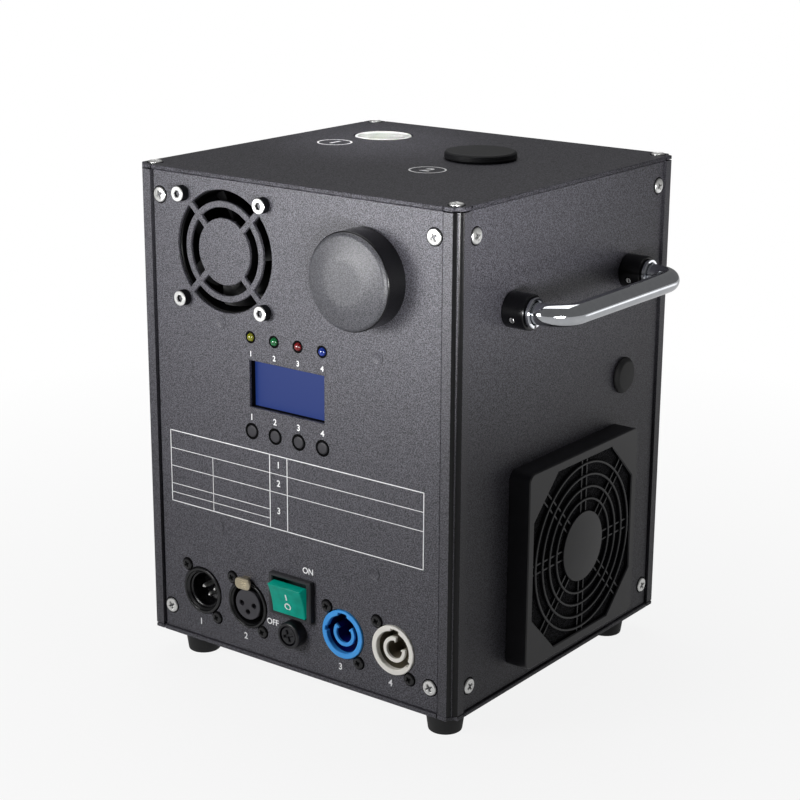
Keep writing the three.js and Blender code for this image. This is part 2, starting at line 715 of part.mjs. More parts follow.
function addCleanOut(face) {
  const group = new THREE.Group();
  group.position.set(port.across, level.fan, 0);
  face.add(group);

  const top = -panelBack;
  const bore = cleanPlug.radius + slip;
  const cup = [
    [0, top - port.deep - port.floor],
    [bore + port.wall, top - port.deep - port.floor],
    [bore + port.wall, top - port.flangeThick],
    [port.flange, top - port.flangeThick],
    [port.flange, top],
    [bore, top],
    [bore, top - port.deep],
    [0, top - port.deep],
  ];
  piece(group, "clean_out_port", turned(cup, sides.large), steel);

  const plugTop = slip;
  const plugEnd = plugTop - cleanPlug.long;
  const grooveLow = plugEnd + cleanPlug.grooveAt;
  const groove = cleanPlug.radius - cleanPlug.grooveDeep;
  const plugProfile = [
    [cleanPlug.radius - cleanPlug.wall - cleanPlug.grooveDeep, plugEnd],
    [cleanPlug.radius, plugEnd],
    [cleanPlug.radius, grooveLow],
    [groove, grooveLow],
    [groove, grooveLow + cleanPlug.grooveWide],
    [cleanPlug.radius, grooveLow + cleanPlug.grooveWide],
    [cleanPlug.radius, plugTop],
    [0, plugTop],
    [0, plugTop - cleanPlug.wall],
    [cleanPlug.radius - cleanPlug.wall - cleanPlug.grooveDeep, plugTop - cleanPlug.wall],
  ];
  piece(group, "clean_out_plug", turned(plugProfile, sides.large), rubber);

  const low = plugTop + fit;
  const inside = cleanCap.radius - cleanCap.rim;
  const capProfile = [
    [0, low],
    [cleanCap.radius - cleanCap.edge, low],
    [cleanCap.radius, low + cleanCap.edge],
    [cleanCap.radius, cleanCap.high - cleanCap.edge],
    [cleanCap.radius - cleanCap.edge / 2, cleanCap.high],
    [inside, cleanCap.high],
    [inside - cleanCap.edge, cleanCap.high - cleanCap.edge],
    [0, cleanCap.high - cleanCap.dish],
  ];
  piece(group, "clean_out_cap", turned(capProfile, sides.ring), knobPlastic);
}

// Sockets

function socketBody(bore, boreDeep) {
  const flangeTop = -panelBack;
  const flange = roundedRectangle(socket.flangeWide, socket.flangeHigh, socket.corner);
  const barrel = [
    [0, -socket.deep],
    [socket.rear, -socket.deep],
    [socket.rear, flangeTop],
    [socket.body, flangeTop],
    [socket.body, socket.proud],
    [0, socket.proud],
  ];
  const bowl = cylinder(bore, socket.proud - boreDeep, socket.proud + overrun, sides.large);
  const plateBack = prism(flange, socket.flangeThick, flangeTop - socket.flangeThick);
  return cut(join(turned(barrel, sides.large), plateBack), bowl);
}

function threePlaces(radius, turn) {
  const angles = [turn, turn + quarterTurn, turn - quarterTurn];
  return angles.map((angle) => [radius * Math.cos(angle), radius * Math.sin(angle)]);
}

function addSignalSockets(face) {
  const floor = socket.proud - signalIn.boreDeep;
  const pins = threePlaces(signalIn.pinCircle, -quarterTurn).map(([x, y]) =>
    cylinder(signalIn.pin, floor - overrun, socket.proud - signalIn.tipDeep, sides.small, x, y),
  );
  const step = cylinder(signalIn.lip, socket.proud - signalIn.lipDeep, socket.proud + overrun, sides.large);
  const inletBody = join(cut(socketBody(signalIn.bore, signalIn.boreDeep), step), ...pins);
  piece(face, "xlr_inlet", inletBody, blackPlastic).position.set(socketPlaces[0], level.sockets, 0);

  const outFloor = socket.proud - signalOut.boreDeep;
  const insertTop = socket.proud - signalOut.insertDeep;
  const insert = cylinder(signalOut.insert, outFloor - overrun, insertTop, sides.large);
  const holes = threePlaces(signalOut.holeCircle, -quarterTurn).map(([x, y]) =>
    cylinder(signalOut.hole, insertTop - signalOut.holeDeep, insertTop + overrun, sides.small, x, y),
  );
  const slotShape = rectangle(latch.stemWide + 2 * slip, latch.stemHigh + 2 * slip, 0, latch.rise);
  const slotEnd = latch.out - latch.stemLong - latch.travel - overrun;
  const latchSlot = prism(slotShape, latch.stemLong, slotEnd);
  const shellAndInsert = join(socketBody(signalOut.bore, signalOut.boreDeep), insert);
  const outletBody = cut(shellAndInsert, ...holes, latchSlot);
  piece(face, "xlr_outlet", outletBody, blackPlastic).position.set(socketPlaces[1], level.sockets, 0);

  const tabShape = roundedRectangle(latch.wide, latch.high, latch.corner, 0, -latch.drop);
  const tab = prism(tabShape, latch.thick, latch.out - latch.thick);
  const stemShape = rectangle(latch.stemWide, latch.stemHigh);
  const stem = prism(stemShape, latch.stemLong - latch.thick / 2, latch.out - latch.stemLong);
  piece(face, "xlr_latch", join(tab, stem), nickel).position.set(socketPlaces[1], latchLevel, 0);
}

// The two mains sockets differ in where their keyways and the gap of the inner ring lie
function mainsSocket(keyAngles, gapAngle) {
  const floor = socket.proud - mains.boreDeep;
  const coreTop = socket.proud - mains.coreDeep;
  const ring = prism(circle(mains.core, sides.large), coreTop + overrun - floor, floor - overrun, [
    circle(mains.coreBore, sides.medium),
  ]);
  const gapLong = mains.core + overrun;
  const gap = prism(rectangle(gapLong, mains.coreGap, gapLong / 2), coreTop - floor + overrun, floor);
  const openRing = cut(ring, gap.rotateZ(gapAngle));
  const reach = mains.bore + mains.keyDeep;
  const keyways = keyAngles.map((angle) =>
    prism(rectangle(reach, mains.key, reach / 2), mains.boreDeep + overrun, floor).rotateZ(angle),
  );
  return join(cut(socketBody(mains.bore, mains.boreDeep), ...keyways), openRing);
}

function addMainsSockets(face) {
  const inward = mainsSocket([quarterTurn, Math.PI], quarterTurn);
  piece(face, "power_inlet", inward, socketBlue).position.set(socketPlaces[2], level.sockets, 0);
  const outward = mainsSocket([Math.PI / 3, -Math.PI / 6], Math.PI / 4);
  piece(face, "power_outlet", outward, socketGrey).position.set(socketPlaces[3], level.sockets, 0);
}

// Rocker switch

function addSwitch(face) {
  const group = new THREE.Group();
  group.position.set(rocker.across, rockerLevel, 0);
  face.add(group);

  const bodyWide = rocker.openWide + 2 * rocker.bodyWall;
  const bodyHigh = rocker.openHigh + 2 * rocker.bodyWall;
  const bezel = prism(roundedRectangle(rocker.wide, rocker.high, rocker.corner), rocker.proud - fit, fit);
  const body = prism(rectangle(bodyWide, bodyHigh), rocker.deep + fit + rocker.bodyWall, -rocker.deep);
  const openShape = rectangle(rocker.openWide, rocker.openHigh);
  const cavity = prism(openShape, rocker.cavity + rocker.proud + overrun, -rocker.cavity);
  piece(group, "switch_housing", cut(join(bezel, body), cavity), blackPlastic);

  // Seen from the side: the pivot is the origin, X is outwards and Y is up
  const steps = 6;
  const facePoints = [];
  for (let i = 0; i <= steps; i += 1) {
    const share = (2 * i) / steps - 1;
    const out = rocker.face - rocker.faceDip * (1 - share * share);
    facePoints.push(new THREE.Vector2(out, share * rocker.halfHigh));
  }
  const backPoints = [
    [-rocker.shoulderIn, rocker.shoulder],
    [-rocker.heelIn, rocker.heel],
    [-rocker.heelIn, -rocker.heel],
    [-rocker.shoulderIn, -rocker.shoulder],
  ].map(([x, y]) => new THREE.Vector2(x, y));
  const profile = prism([...facePoints, ...backPoints], 2 * rocker.halfWide, -rocker.halfWide);
  const mesh = piece(group, "switch_rocker", profile.rotateY(-quarterTurn), switchGreen);
  mesh.position.set(0, 0, rocker.pivot);
  mesh.rotation.x = rockerTilt;
}

// Fuse holder: the carrier pulls out with the fuse, and its slotted cap turns

function addFuse(face) {
  const group = new THREE.Group();
  group.position.set(fuse.across, fuseLevel, 0);
  face.add(group);

  const nutTop = -panelBack;
  const holderProfile = [
    [0, -fuse.deep],
    [fuse.thread, -fuse.deep],
    [fuse.thread, nutTop - fuse.nutThick],
    [fuse.nut, nutTop - fuse.nutThick],
    [fuse.nut, nutTop],
    [fuse.thread, nutTop],
    [fuse.thread, fit],
    [fuse.collar, fit],
    [fuse.collar, fuse.proud],
    [fuse.bore, fuse.proud],
    [fuse.bore, fuse.floor - fuse.deep],
    [0, fuse.floor - fuse.deep],
  ];
  piece(group, "fuse_holder", turned(holderProfile, sides.medium), blackPlastic);

  const capTop = fuse.proud - fuse.capSunk;
  const capLow = capTop - fuse.capLong;
  const slots = [rectangle(fuse.slotLong, fuse.slotWide), rectangle(fuse.slotWide, fuse.slotLong)];
  const cross = slots.map((outline) => prism(outline, fuse.slotDeep + overrun, capTop - fuse.slotDeep));
  const carrierEnd = capLow - fuse.carrierLong;
  const pocketTop = carrierEnd + fuse.pocket;
  const pocketRadius = fuse.linkRadius + fit;
  const capProfile = [
    [pocketRadius, carrierEnd],
    [fuse.carrier, carrierEnd],
    [fuse.carrier, capLow],
    [fuse.cap, capLow],
    [fuse.cap, capTop],
    [0, capTop],
    [0, pocketTop],
    [pocketRadius, pocketTop],
  ];
  piece(group, "fuse_cap", cut(turned(capProfile, sides.medium), ...cross), blackPlastic);

  const linkTop = pocketTop - fit;
  const linkEnd = linkTop - fuse.linkLong;
  const waist = fuse.linkRadius - fuse.neck;
  const linkProfile = [
    [0, linkEnd],
    [fuse.linkRadius, linkEnd],
    [fuse.linkRadius, linkEnd + fuse.endCap],
    [waist, linkEnd + fuse.endCap],
    [waist, linkTop - fuse.endCap],
    [fuse.linkRadius, linkTop - fuse.endCap],
    [fuse.linkRadius, linkTop],
    [0, linkTop],
  ];
  piece(group, "fuse_link", turned(linkProfile, sides.small), clearGlass);
}

// Nozzle, powder cap and what lies below them

function addTopFittings(parent) {
  const cupLow = tower.top + fit;
  const cupProfile = [
    [nozzle.throat, cupLow],
    [nozzle.outer, cupLow],
    [nozzle.outer, housing.height],
    [nozzle.inner, housing.height],
    [nozzle.inner, cupLow + nozzle.floor],
    [nozzle.throat, cupLow + nozzle.floor],
  ];
  const cup = piece(parent, "nozzle_cup", turned(cupProfile, sides.large), paleMetal);
  cup.position.set(nozzleAt.x, nozzleAt.y, 0);

  const capLow = housing.height + fit;
  const capTop = housing.height + inlet.capHigh;
  const plugEnd = housing.height - inlet.plugDeep;
  const plugInside = inlet.plug - inlet.plugWall;
  const capProfile = [
    [plugInside, plugEnd],
    [inlet.plug, plugEnd],
    [inlet.plug, capLow],
    [inlet.cap, capLow],
    [inlet.cap, capTop - inlet.capEdge],
    [inlet.cap - inlet.capEdge, capTop],
    [0, capTop],
    [0, capLow],
    [plugInside, capLow],
  ];
  const cap = piece(parent, "powder_cap", turned(capProfile, sides.large), blackPlastic);
  cap.position.set(inletAt.x, inletAt.y, 0);
}

function addHopper(parent) {
  const drumLow = ceiling - hopper.drum;
  const spoutTop = drumLow - hopper.cone;
  const spoutEnd = spoutTop - hopper.spoutLong;
  const inside = hopper.radius - hopper.wall;
  const spoutInside = hopper.spout - hopper.wall;
  const profile = [
    [spoutInside, spoutEnd],
    [hopper.spout, spoutEnd],
    [hopper.spout, spoutTop],
    [hopper.radius, drumLow],
    [hopper.radius, ceiling - hopper.flangeThick],
    [hopper.flange, ceiling - hopper.flangeThick],
    [hopper.flange, ceiling],
    [inside, ceiling],
    [inside, drumLow],
    [spoutInside, spoutTop],
  ];
  piece(parent, "hopper", turned(profile, sides.large), zinc).position.set(inletAt.x, inletAt.y, 0);
}

// The feed line lies in a group whose X axis runs from below the hopper to the heater
function feedGroup(parent) {
  const group = new THREE.Group();
  group.position.set(inletAt.x, inletAt.y, feed.level);
  group.rotation.z = Math.atan2(nozzleAt.y - inletAt.y, nozzleAt.x - inletAt.x);
  parent.add(group);
  return group;
}

const feedSpan = inletAt.distanceTo(nozzleAt);

function addFeed(parent) {
  const group = feedGroup(parent);
  const end = feedSpan - tower.bore - overrun;
  const pipe = cylinder(feed.outer, -feed.behind, end, sides.medium).rotateY(quarterTurn);
  const neck = cylinder(feed.neck, 0, feed.neckHigh, sides.medium);
  const bore = cylinder(feed.inner, -feed.behind - overrun, end + overrun, sides.medium).rotateY(quarterTurn);
  const mouth = cylinder(hopper.spout + fit, 0, feed.neckHigh + overrun, sides.medium);
  piece(group, "feed_tube", cut(join(pipe, neck), bore, mouth), steel);

  const screwEnd = end - screw.nose;
  const long = screwEnd + screw.start;
  const barWide = 2 * screw.flight;
  const flights = new THREE.ExtrudeGeometry(new THREE.Shape(rectangle(barWide, screw.bar)), {
    depth: long,
    steps: screw.steps,
    bevelEnabled: false,
  });
  const corner = flights.getAttribute("position");
  const twist = (screw.turns * fullTurn) / long;
  for (let i = 0; i < corner.count; i += 1) {
    const point = new THREE.Vector3().fromBufferAttribute(corner, i);
    point.applyAxisAngle(new THREE.Vector3(0, 0, 1), twist * point.z);
    corner.setXYZ(i, point.x, point.y, point.z);
  }
  flights.translate(0, 0, -screw.start);
  const shaft = cylinder(screw.shaft, -screw.shaftBehind, screwEnd, sides.small);
  piece(group, "feed_screw", join(flights, shaft).rotateY(quarterTurn), steel);

  const gearFace = -feed.behind - fit;
  const gearEnd = gearFace - motor.gearLong;
  const motorProfile = [
    [0, gearEnd - motor.bodyLong],
    [motor.body - motor.edge, gearEnd - motor.bodyLong],
    [motor.body, gearEnd - motor.bodyLong + motor.edge],
    [motor.body, gearEnd],
    [motor.gear, gearEnd],
    [motor.gear, gearFace],
    [motor.shaftHole, gearFace],
    [motor.shaftHole, gearFace - motor.shaftHoleDeep],
    [0, gearFace - motor.shaftHoleDeep],
  ];
  piece(group, "feed_motor", turned(motorProfile, sides.medium).rotateY(quarterTurn), zinc);
}

function addHeater(parent) {
  const block = cylinder(tower.radius, plate.thick + fit, tower.top, sides.large);
  const bore = cylinder(tower.bore, tower.boreFloor, tower.top + overrun, sides.medium);
  const heading = Math.atan2(inletAt.y - nozzleAt.y, inletAt.x - nozzleAt.x);
  const sidePort = cylinder(feed.outer + fit, 0, tower.radius + overrun, sides.medium).rotateY(quarterTurn);
  sidePort.rotateZ(heading).translate(0, 0, feed.level);
  const airPort = cylinder(tower.airPort, 0, tower.radius + overrun, sides.medium).rotateX(quarterTurn);
  airPort.translate(0, 0, tower.airLevel);
  const geometry = cut(block, bore, sidePort, airPort);
  piece(parent, "heater_chamber", geometry, steel).position.set(nozzleAt.x, nozzleAt.y, 0);
}

function addSupply(parent) {
  const low = plate.thick + fit;
  const base = prism(rectangle(supply.long + 2 * supply.baseMargin, supply.wide), supply.base, low);
  const boxWide = supply.wide - supply.strip;
  const box = prism(rectangle(supply.long, boxWide, 0, supply.strip / 2), supply.high, low);
  const stripShape = rectangle(supply.long, supply.strip + overrun, 0, -boxWide / 2);
  const strip = prism(stripShape, supply.high / 2, low);
  const fins = [];
  for (let i = 0; i < supply.fins; i += 1) {
    const x = (i - (supply.fins - 1) / 2) * (supply.long / supply.fins);
    const outline = rectangle(supply.fin, boxWide, x, supply.strip / 2);
    fins.push(prism(outline, supply.high + supply.fin, low));
  }
  const fanBack = halfWidth - panel.recess - panelBack - sideFan.deep;
  const x = fanBack - supply.right - supply.baseMargin - supply.long / 2;
  const y = halfDepth - supply.rear - supply.wide / 2;
  piece(parent, "power_supply", join(base, box, strip, ...fins), zinc).position.set(x, y, 0);
}

// The whole machine, moved so that its box stands on the origin

const machine = new THREE.Group();
const outside = {
  left: halfWidth,
  right: halfWidth - panel.recess + handle.reach + handle.bar,
  front: halfDepth - panel.recess + cleanCap.high,
  rear: halfDepth,
};
const shell = new THREE.Group();
shell.position.set((outside.left - outside.right) / 2, (outside.front - outside.rear) / 2, foot.height);
machine.add(shell);

const axis = (x, y) => new THREE.Vector3(x, y, 0);
const front = faceGroup(shell, axis(0, panel.recess - halfDepth), axis(1, 0), axis(0, -1));
const right = faceGroup(shell, axis(halfWidth - panel.recess, 0), axis(0, 1), axis(1, 0));
const rear = faceGroup(shell, axis(0, halfDepth - panel.recess), axis(-1, 0), axis(0, 1));
const left = faceGroup(shell, axis(panel.recess - halfWidth, 0), axis(0, -1), axis(-1, 0));

addPlates(shell);
addPosts(shell);
addFeet(shell);
piece(front, "front_panel", panelBlank(housing.width, frontHoles()), powderCoatPanel);
piece(right, "right_panel", panelBlank(housing.depth, sideHoles()), powderCoatPanel);
piece(rear, "rear_panel", panelBlank(housing.width), powderCoatPanel);
piece(left, "left_panel", panelBlank(housing.depth), powderCoatPanel);
addFrontFan(front);
addCleanOut(front);
addMenu(front);
addBoard(front);
addSignalSockets(front);
addMainsSockets(front);
addSwitch(front);
addFuse(front);
addHandle(right);
addSidePlug(right);
addSideFan(right);
addFilterCover(right);
addTopFittings(shell);
addHopper(shell);
addFeed(shell);
addHeater(shell);
addSupply(shell);

export default machine;
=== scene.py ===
import json
import math
import bmesh
import bpy
from mathutils import Matrix, Vector


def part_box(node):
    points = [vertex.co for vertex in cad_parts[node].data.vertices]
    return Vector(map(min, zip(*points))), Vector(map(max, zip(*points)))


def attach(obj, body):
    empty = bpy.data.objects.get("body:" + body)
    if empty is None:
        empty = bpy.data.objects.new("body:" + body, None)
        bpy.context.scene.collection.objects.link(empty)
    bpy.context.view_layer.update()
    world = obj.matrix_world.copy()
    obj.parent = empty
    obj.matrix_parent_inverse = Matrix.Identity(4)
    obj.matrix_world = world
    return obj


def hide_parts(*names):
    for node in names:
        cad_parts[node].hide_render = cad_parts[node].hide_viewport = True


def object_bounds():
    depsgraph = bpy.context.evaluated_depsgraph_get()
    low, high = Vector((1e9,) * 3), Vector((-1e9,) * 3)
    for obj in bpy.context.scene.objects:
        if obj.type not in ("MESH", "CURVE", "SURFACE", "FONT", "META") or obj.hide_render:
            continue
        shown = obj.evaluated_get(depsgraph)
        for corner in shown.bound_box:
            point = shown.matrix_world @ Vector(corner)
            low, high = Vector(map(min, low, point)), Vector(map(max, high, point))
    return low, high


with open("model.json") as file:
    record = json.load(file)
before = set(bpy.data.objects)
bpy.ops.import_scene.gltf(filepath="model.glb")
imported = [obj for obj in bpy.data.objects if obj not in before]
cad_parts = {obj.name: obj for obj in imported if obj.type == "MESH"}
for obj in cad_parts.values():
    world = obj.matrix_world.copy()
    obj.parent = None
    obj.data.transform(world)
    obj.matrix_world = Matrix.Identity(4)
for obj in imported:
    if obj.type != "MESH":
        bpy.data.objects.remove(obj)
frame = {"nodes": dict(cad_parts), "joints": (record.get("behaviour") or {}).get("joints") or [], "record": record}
cad_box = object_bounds()

MM = 0.001
TURN = 2 * math.pi
QUARTER = TURN / 4
FINE = 72  # facets of a full circle on the larger round pieces
SMALL = 40  # and on the small ones
CORNERS = ((-1, -1), (1, -1), (1, 1), (-1, 1))

# How hard edges are broken on the real pieces, in millimetres
SHEET_EDGE = 0.25
MOULDED_EDGE = 0.4


# Faces of the housing. A face's matrix takes millimetres, X to the right and Y up along the face
# and Z out of it, to the frame.

def face_matrix(right, up, out, origin):
    turn = Matrix((right, up, out)).transposed().to_4x4()
    return Matrix.Translation(origin) @ turn @ Matrix.Scale(MM, 4)


front_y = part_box("front_panel")[0].y
right_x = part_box("right_panel")[1].x
rear_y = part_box("rear_panel")[1].y
left_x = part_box("left_panel")[0].x
cover_low, cover_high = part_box("top_cover")
base_low, base_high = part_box("bottom_plate")
middle_x = (base_low.x + base_high.x) / 2
middle_y = (base_low.y + base_high.y) / 2
underside = base_low.z
RIGHT, FORWARD, UP = Vector((1, 0, 0)), Vector((0, 1, 0)), Vector((0, 0, 1))

FRONT = face_matrix(RIGHT, UP, -FORWARD, (middle_x, front_y, underside))
SIDE = face_matrix(FORWARD, UP, RIGHT, (right_x, middle_y, underside))
REAR = face_matrix(-RIGHT, UP, FORWARD, (middle_x, rear_y, underside))
LEFT = face_matrix(-FORWARD, UP, -RIGHT, (left_x, middle_y, underside))
TOP = face_matrix(RIGHT, FORWARD, UP, (middle_x, middle_y, cover_high.z))
BOX = face_matrix(RIGHT, FORWARD, UP, (middle_x, middle_y, underside))

housing_wide = (base_high.x - base_low.x) / MM
housing_deep = (base_high.y - base_low.y) / MM
housing_high = (cover_high.z - underside) / MM

FOOT_NODES = ["foot_front_left", "foot_front_right", "foot_rear_right", "foot_rear_left"]
POST_NODES = [n.replace("foot", "corner_post") for n in FOOT_NODES]
KEYS = [f"menu_button_{i}" for i in range(1, 5)]
LAMPS = [f"status_led_{i}" for i in range(1, 5)]
SOCKETS = ["xlr_inlet", "xlr_outlet", "power_inlet", "power_outlet"]


def middle_of(face, node):
    """A node's middle in a face's millimetres, and its reach along the face and out of it."""
    low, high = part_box(node)
    back = face.inverted()
    a, b = back @ low, back @ high
    least = Vector(map(min, a, b))
    most = Vector(map(max, a, b))
    return (least + most) / 2, least, most


def set_on(face, spot, height=0.0):
    """The matrix of a place on a face, at a spot's X and Y and a height out of the face."""
    return face @ Matrix.Translation((spot.x, spot.y, height))


# Outlines, in millimetres

def circle(radius, x=0.0, y=0.0, count=FINE):
    angles = [TURN * i / count for i in range(count)]
    return [(x + radius * math.cos(a), y + radius * math.sin(a)) for a in angles]


def arc(radius, start, end, x=0.0, y=0.0, steps=8):
    angles = [start + (end - start) * i / steps for i in range(steps + 1)]
    return [(x + radius * math.cos(a), y + radius * math.sin(a)) for a in angles]


def rectangle(wide, high, x=0.0, y=0.0):
    return [(x + h * wide / 2, y + v * high / 2) for h, v in CORNERS]


def soft_rectangle(wide, high, radius, x=0.0, y=0.0):
    """A rectangle with round corners."""
    points = []
    for i, (h, v) in enumerate(((1, 1), (-1, 1), (-1, -1), (1, -1))):
        start = i * QUARTER
        centre = (x + h * (wide / 2 - radius), y + v * (high / 2 - radius))
        points += arc(radius, start, start + QUARTER, *centre, steps=6)
    return points


def cross(reach, end, crook, lean):
    """A cross recess: how far its arms reach, the half width of their ends, and the place of the
    crook between two arms."""
    points = []
    for i in range(4):
        turn = Matrix.Rotation(i * QUARTER + lean, 2)
        for p in ((reach, -end), (reach, end), (crook, crook)):
            points.append(tuple(turn @ Vector(p)))
    return points


# Profiles of (radius, height) pairs, in millimetres

def bar(radius, low, high, bore=0.0):
    """The profile of a plain round bar, or of a ring."""
    return [(bore, low), (radius, low), (radius, high), (bore, high)]


def rounded(profile, radius, steps=3):
    """A profile with each inner corner eased by a small curve."""
    points = [Vector(p) for p in profile]
    out = [points[0]]
    for before, corner, after in zip(points, points[1:], points[2:]):
        reach = min(radius, (corner - before).length / 2.1, (after - corner).length / 2.1)
        start = corner + (before - corner).normalized() * reach
        end = corner + (after - corner).normalized() * reach
        for i in range(steps + 1):
            t = i / steps
            out.append(start.lerp(corner, t).lerp(corner.lerp(end, t), t))
    out.append(points[-1])
    return [tuple(p) for p in out]


# Solids: each function returns a bmesh in its face's millimetres

def turned(profile, x=0.0, y=0.0, steps=FINE, closed=False):
    """A profile spun about Z."""
    bm = bmesh.new()
    verts = [bm.verts.new((r, 0, z)) for r, z in profile]
    edges = [bm.edges.new(pair) for pair in zip(verts, verts[1:])]
    if closed:
        edges.append(bm.edges.new((verts[-1], verts[0])))
    bmesh.ops.spin(
        bm, geom=verts + edges, cent=(0, 0, 0), axis=(0, 0, 1), angle=TURN, steps=steps, use_merge=True
    )
    bmesh.ops.remove_doubles(bm, verts=bm.verts, dist=0.001)
    bmesh.ops.recalc_face_normals(bm, faces=bm.faces)
    bmesh.ops.translate(bm, verts=bm.verts, vec=(x, y, 0))
    return bm


def flat(outline, holes, height):
    """A flat face with holes, pointing up."""
    bm = bmesh.new()
    edges = []
    for loop in (outline, *holes):
        verts = [bm.verts.new((x, y, height)) for x, y in loop]
        edges += [bm.edges.new(pair) for pair in zip(verts, verts[1:] + verts[:1])]
    bmesh.ops.triangle_fill(bm, use_beauty=True, edges=edges)
    bm.normal_update()
    turned_over = [f for f in bm.faces if f.normal.z < 0]
    bmesh.ops.reverse_faces(bm, faces=turned_over)
    return bm


def plate(outline, low, high, holes=(), edge=0.0, back_edge=0.0):
    """A plate between two heights, with its front edges, and its back ones, cut at a slant."""
    bm = flat(outline, holes, low + back_edge)
    faces = list(bm.faces)
    made = bmesh.ops.extrude_face_region(bm, geom=faces, use_keep_orig=True)
    top_verts = [g for g in made["geom"] if isinstance(g, bmesh.types.BMVert)]
    top_faces = [g for g in made["geom"] if isinstance(g, bmesh.types.BMFace)]
    bmesh.ops.translate(bm, verts=top_verts, vec=(0, 0, high - edge - low - back_edge))
    bmesh.ops.reverse_faces(bm, faces=faces)
    bm.normal_update()
    for cut_faces, cut in ((top_faces, edge), (faces, back_edge)):
        if cut:
            bmesh.ops.inset_region(
                bm, faces=cut_faces, thickness=cut, depth=cut, use_boundary=True, use_even_offset=True
            )
    bmesh.ops.recalc_face_normals(bm, faces=bm.faces)
    return bm


def block(size, place=(0, 0, 0), edge=MOULDED_EDGE, segments=3):
    """A block about a place, with rounded edges."""
    bm = bmesh.new()
    bmesh.ops.create_cube(bm, size=1)
    bmesh.ops.scale(bm, vec=size, verts=bm.verts)
    bmesh.ops.translate(bm, verts=bm.verts, vec=place)
    if edge:
        bmesh.ops.bevel(
            bm, geom=list(bm.edges), offset=edge, segments=segments, profile=0.5, affect="EDGES", material=-1
        )
    return bm


def moved(bm, matrix):
    bmesh.ops.transform(bm, matrix=matrix, verts=bm.verts)
    return bm


def piece(name, parts, place, material, body="housing", instead=(), sharp=32):
    """One Blender object made of the parts, riding on a body and standing for CAD nodes."""
    whole = bmesh.new()
    for part in parts:
        loose = bpy.data.meshes.new("part")
        part.to_mesh(loose)
        part.free()
        whole.from_mesh(loose)
        bpy.data.meshes.remove(loose)
    whole.transform(place)
    mesh = bpy.data.meshes.new(name)
    whole.to_mesh(mesh)
    whole.free()
    mesh.polygons.foreach_set("use_smooth", [True] * len(mesh.polygons))
    mesh.set_sharp_from_angle(angle=math.radians(sharp))
    mesh.materials.append(material)
    made = bpy.data.objects.new(name, mesh)
    bpy.context.scene.collection.objects.link(made)
    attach(made, body)
    if instead:
        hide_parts(*instead)
    return made


# Materials

def linear(colour):
    """An sRGB hex colour as linear red, green, blue and alpha."""
    parts = [int(colour[i : i + 2], 16) / 255 for i in (1, 3, 5)]
    return tuple(c / 12.92 if c <= 0.04045 else ((c + 0.055) / 1.055) ** 2.4 for c in parts) + (1.0,)


def add_node(tree, kind, links=None, **settings):
    """A node with its settings, and its inputs linked to other nodes' outputs or set to values."""
    made = tree.nodes.new(kind)
    for key, value in settings.items():
        setattr(made, key, value)
    for key, value in (links or {}).items():
        if isinstance(value, bpy.types.NodeSocket):
            tree.links.new(value, made.inputs[key])
        else:
            made.inputs[key].default_value = value
    return made


def new_material(name, **settings):
    """A material with a Principled shader, its tree, the shader and the object's own coordinates."""
    material = bpy.data.materials.new(name)
    material.use_nodes = True
    tree = material.node_tree
    shader = tree.nodes["Principled BSDF"]
    for key, value in settings.items():
        shader.inputs[key.replace("_", " ")].default_value = value
    spot = add_node(tree, "ShaderNodeTexCoord").outputs["Object"]
    return material, tree, shader, spot


def give_skin(tree, shader, share, colour, other, height, depth_mm, strength=1.0):
    """The shader's colour, blended from two by a share, and the relief of its surface."""
    tint = add_node(tree, "ShaderNodeMix", {
        0: share, 6: linear(colour), 7: linear(other),
    }, data_type="RGBA")
    relief = add_node(tree, "ShaderNodeBump", {
        "Height": height, "Distance": depth_mm * MM, "Strength": strength,
    })
    tree.links.new(tint.outputs[2], shader.inputs["Base Color"])
    tree.links.new(relief.outputs["Normal"], shader.inputs["Normal"])


def powder_coat(name, pale, dark, grit_mm, roughness, **settings):
    """Polyester powder coat, baked: a fine pebbled skin with pale glints on the crests of its grains.
    The real grit is finer than the render can show, so it is drawn coarser."""
    material, tree, shader, spot = new_material(name, Roughness=roughness, IOR=1.5, **settings)
    pebbles = add_node(tree, "ShaderNodeTexNoise", {
        "Vector": spot, "Scale": 1 / (grit_mm * MM), "Detail": 1.0, "Roughness": 0.5,
    }).outputs["Fac"]
    crest = add_node(tree, "ShaderNodeMapRange", {
        "Value": pebbles, "From Min": 0.36, "From Max": 0.66,
    }).outputs["Result"]
    give_skin(tree, shader, crest, dark, pale, pebbles, 0.12, 0.8)
    return material


def moulded(name, colour, worn, roughness, grain_mm=0.5, depth_mm=0.02, **settings):
    """A moulded plastic or rubber skin: an even colour with a slight cloudiness from the flow in the
    mould, and the fine spark-eroded grain of the mould's wall, drawn a little coarser than real."""
    material, tree, shader, spot = new_material(name, Roughness=roughness, IOR=1.5, **settings)
    cloud = add_node(tree, "ShaderNodeTexNoise", {"Vector": spot, "Scale": 1 / (9 * MM), "Detail": 2.0})
    share = add_node(tree, "ShaderNodeMapRange", {
        "Value": cloud.outputs["Fac"], "From Min": 0.35, "From Max": 0.65,
    }).outputs["Result"]
    grain = add_node(tree, "ShaderNodeTexNoise", {
        "Vector": spot, "Scale": 1 / (grain_mm * MM), "Detail": 2.0,
    }).outputs["Fac"]
    give_skin(tree, shader, share, colour, worn, grain, depth_mm)
    return material


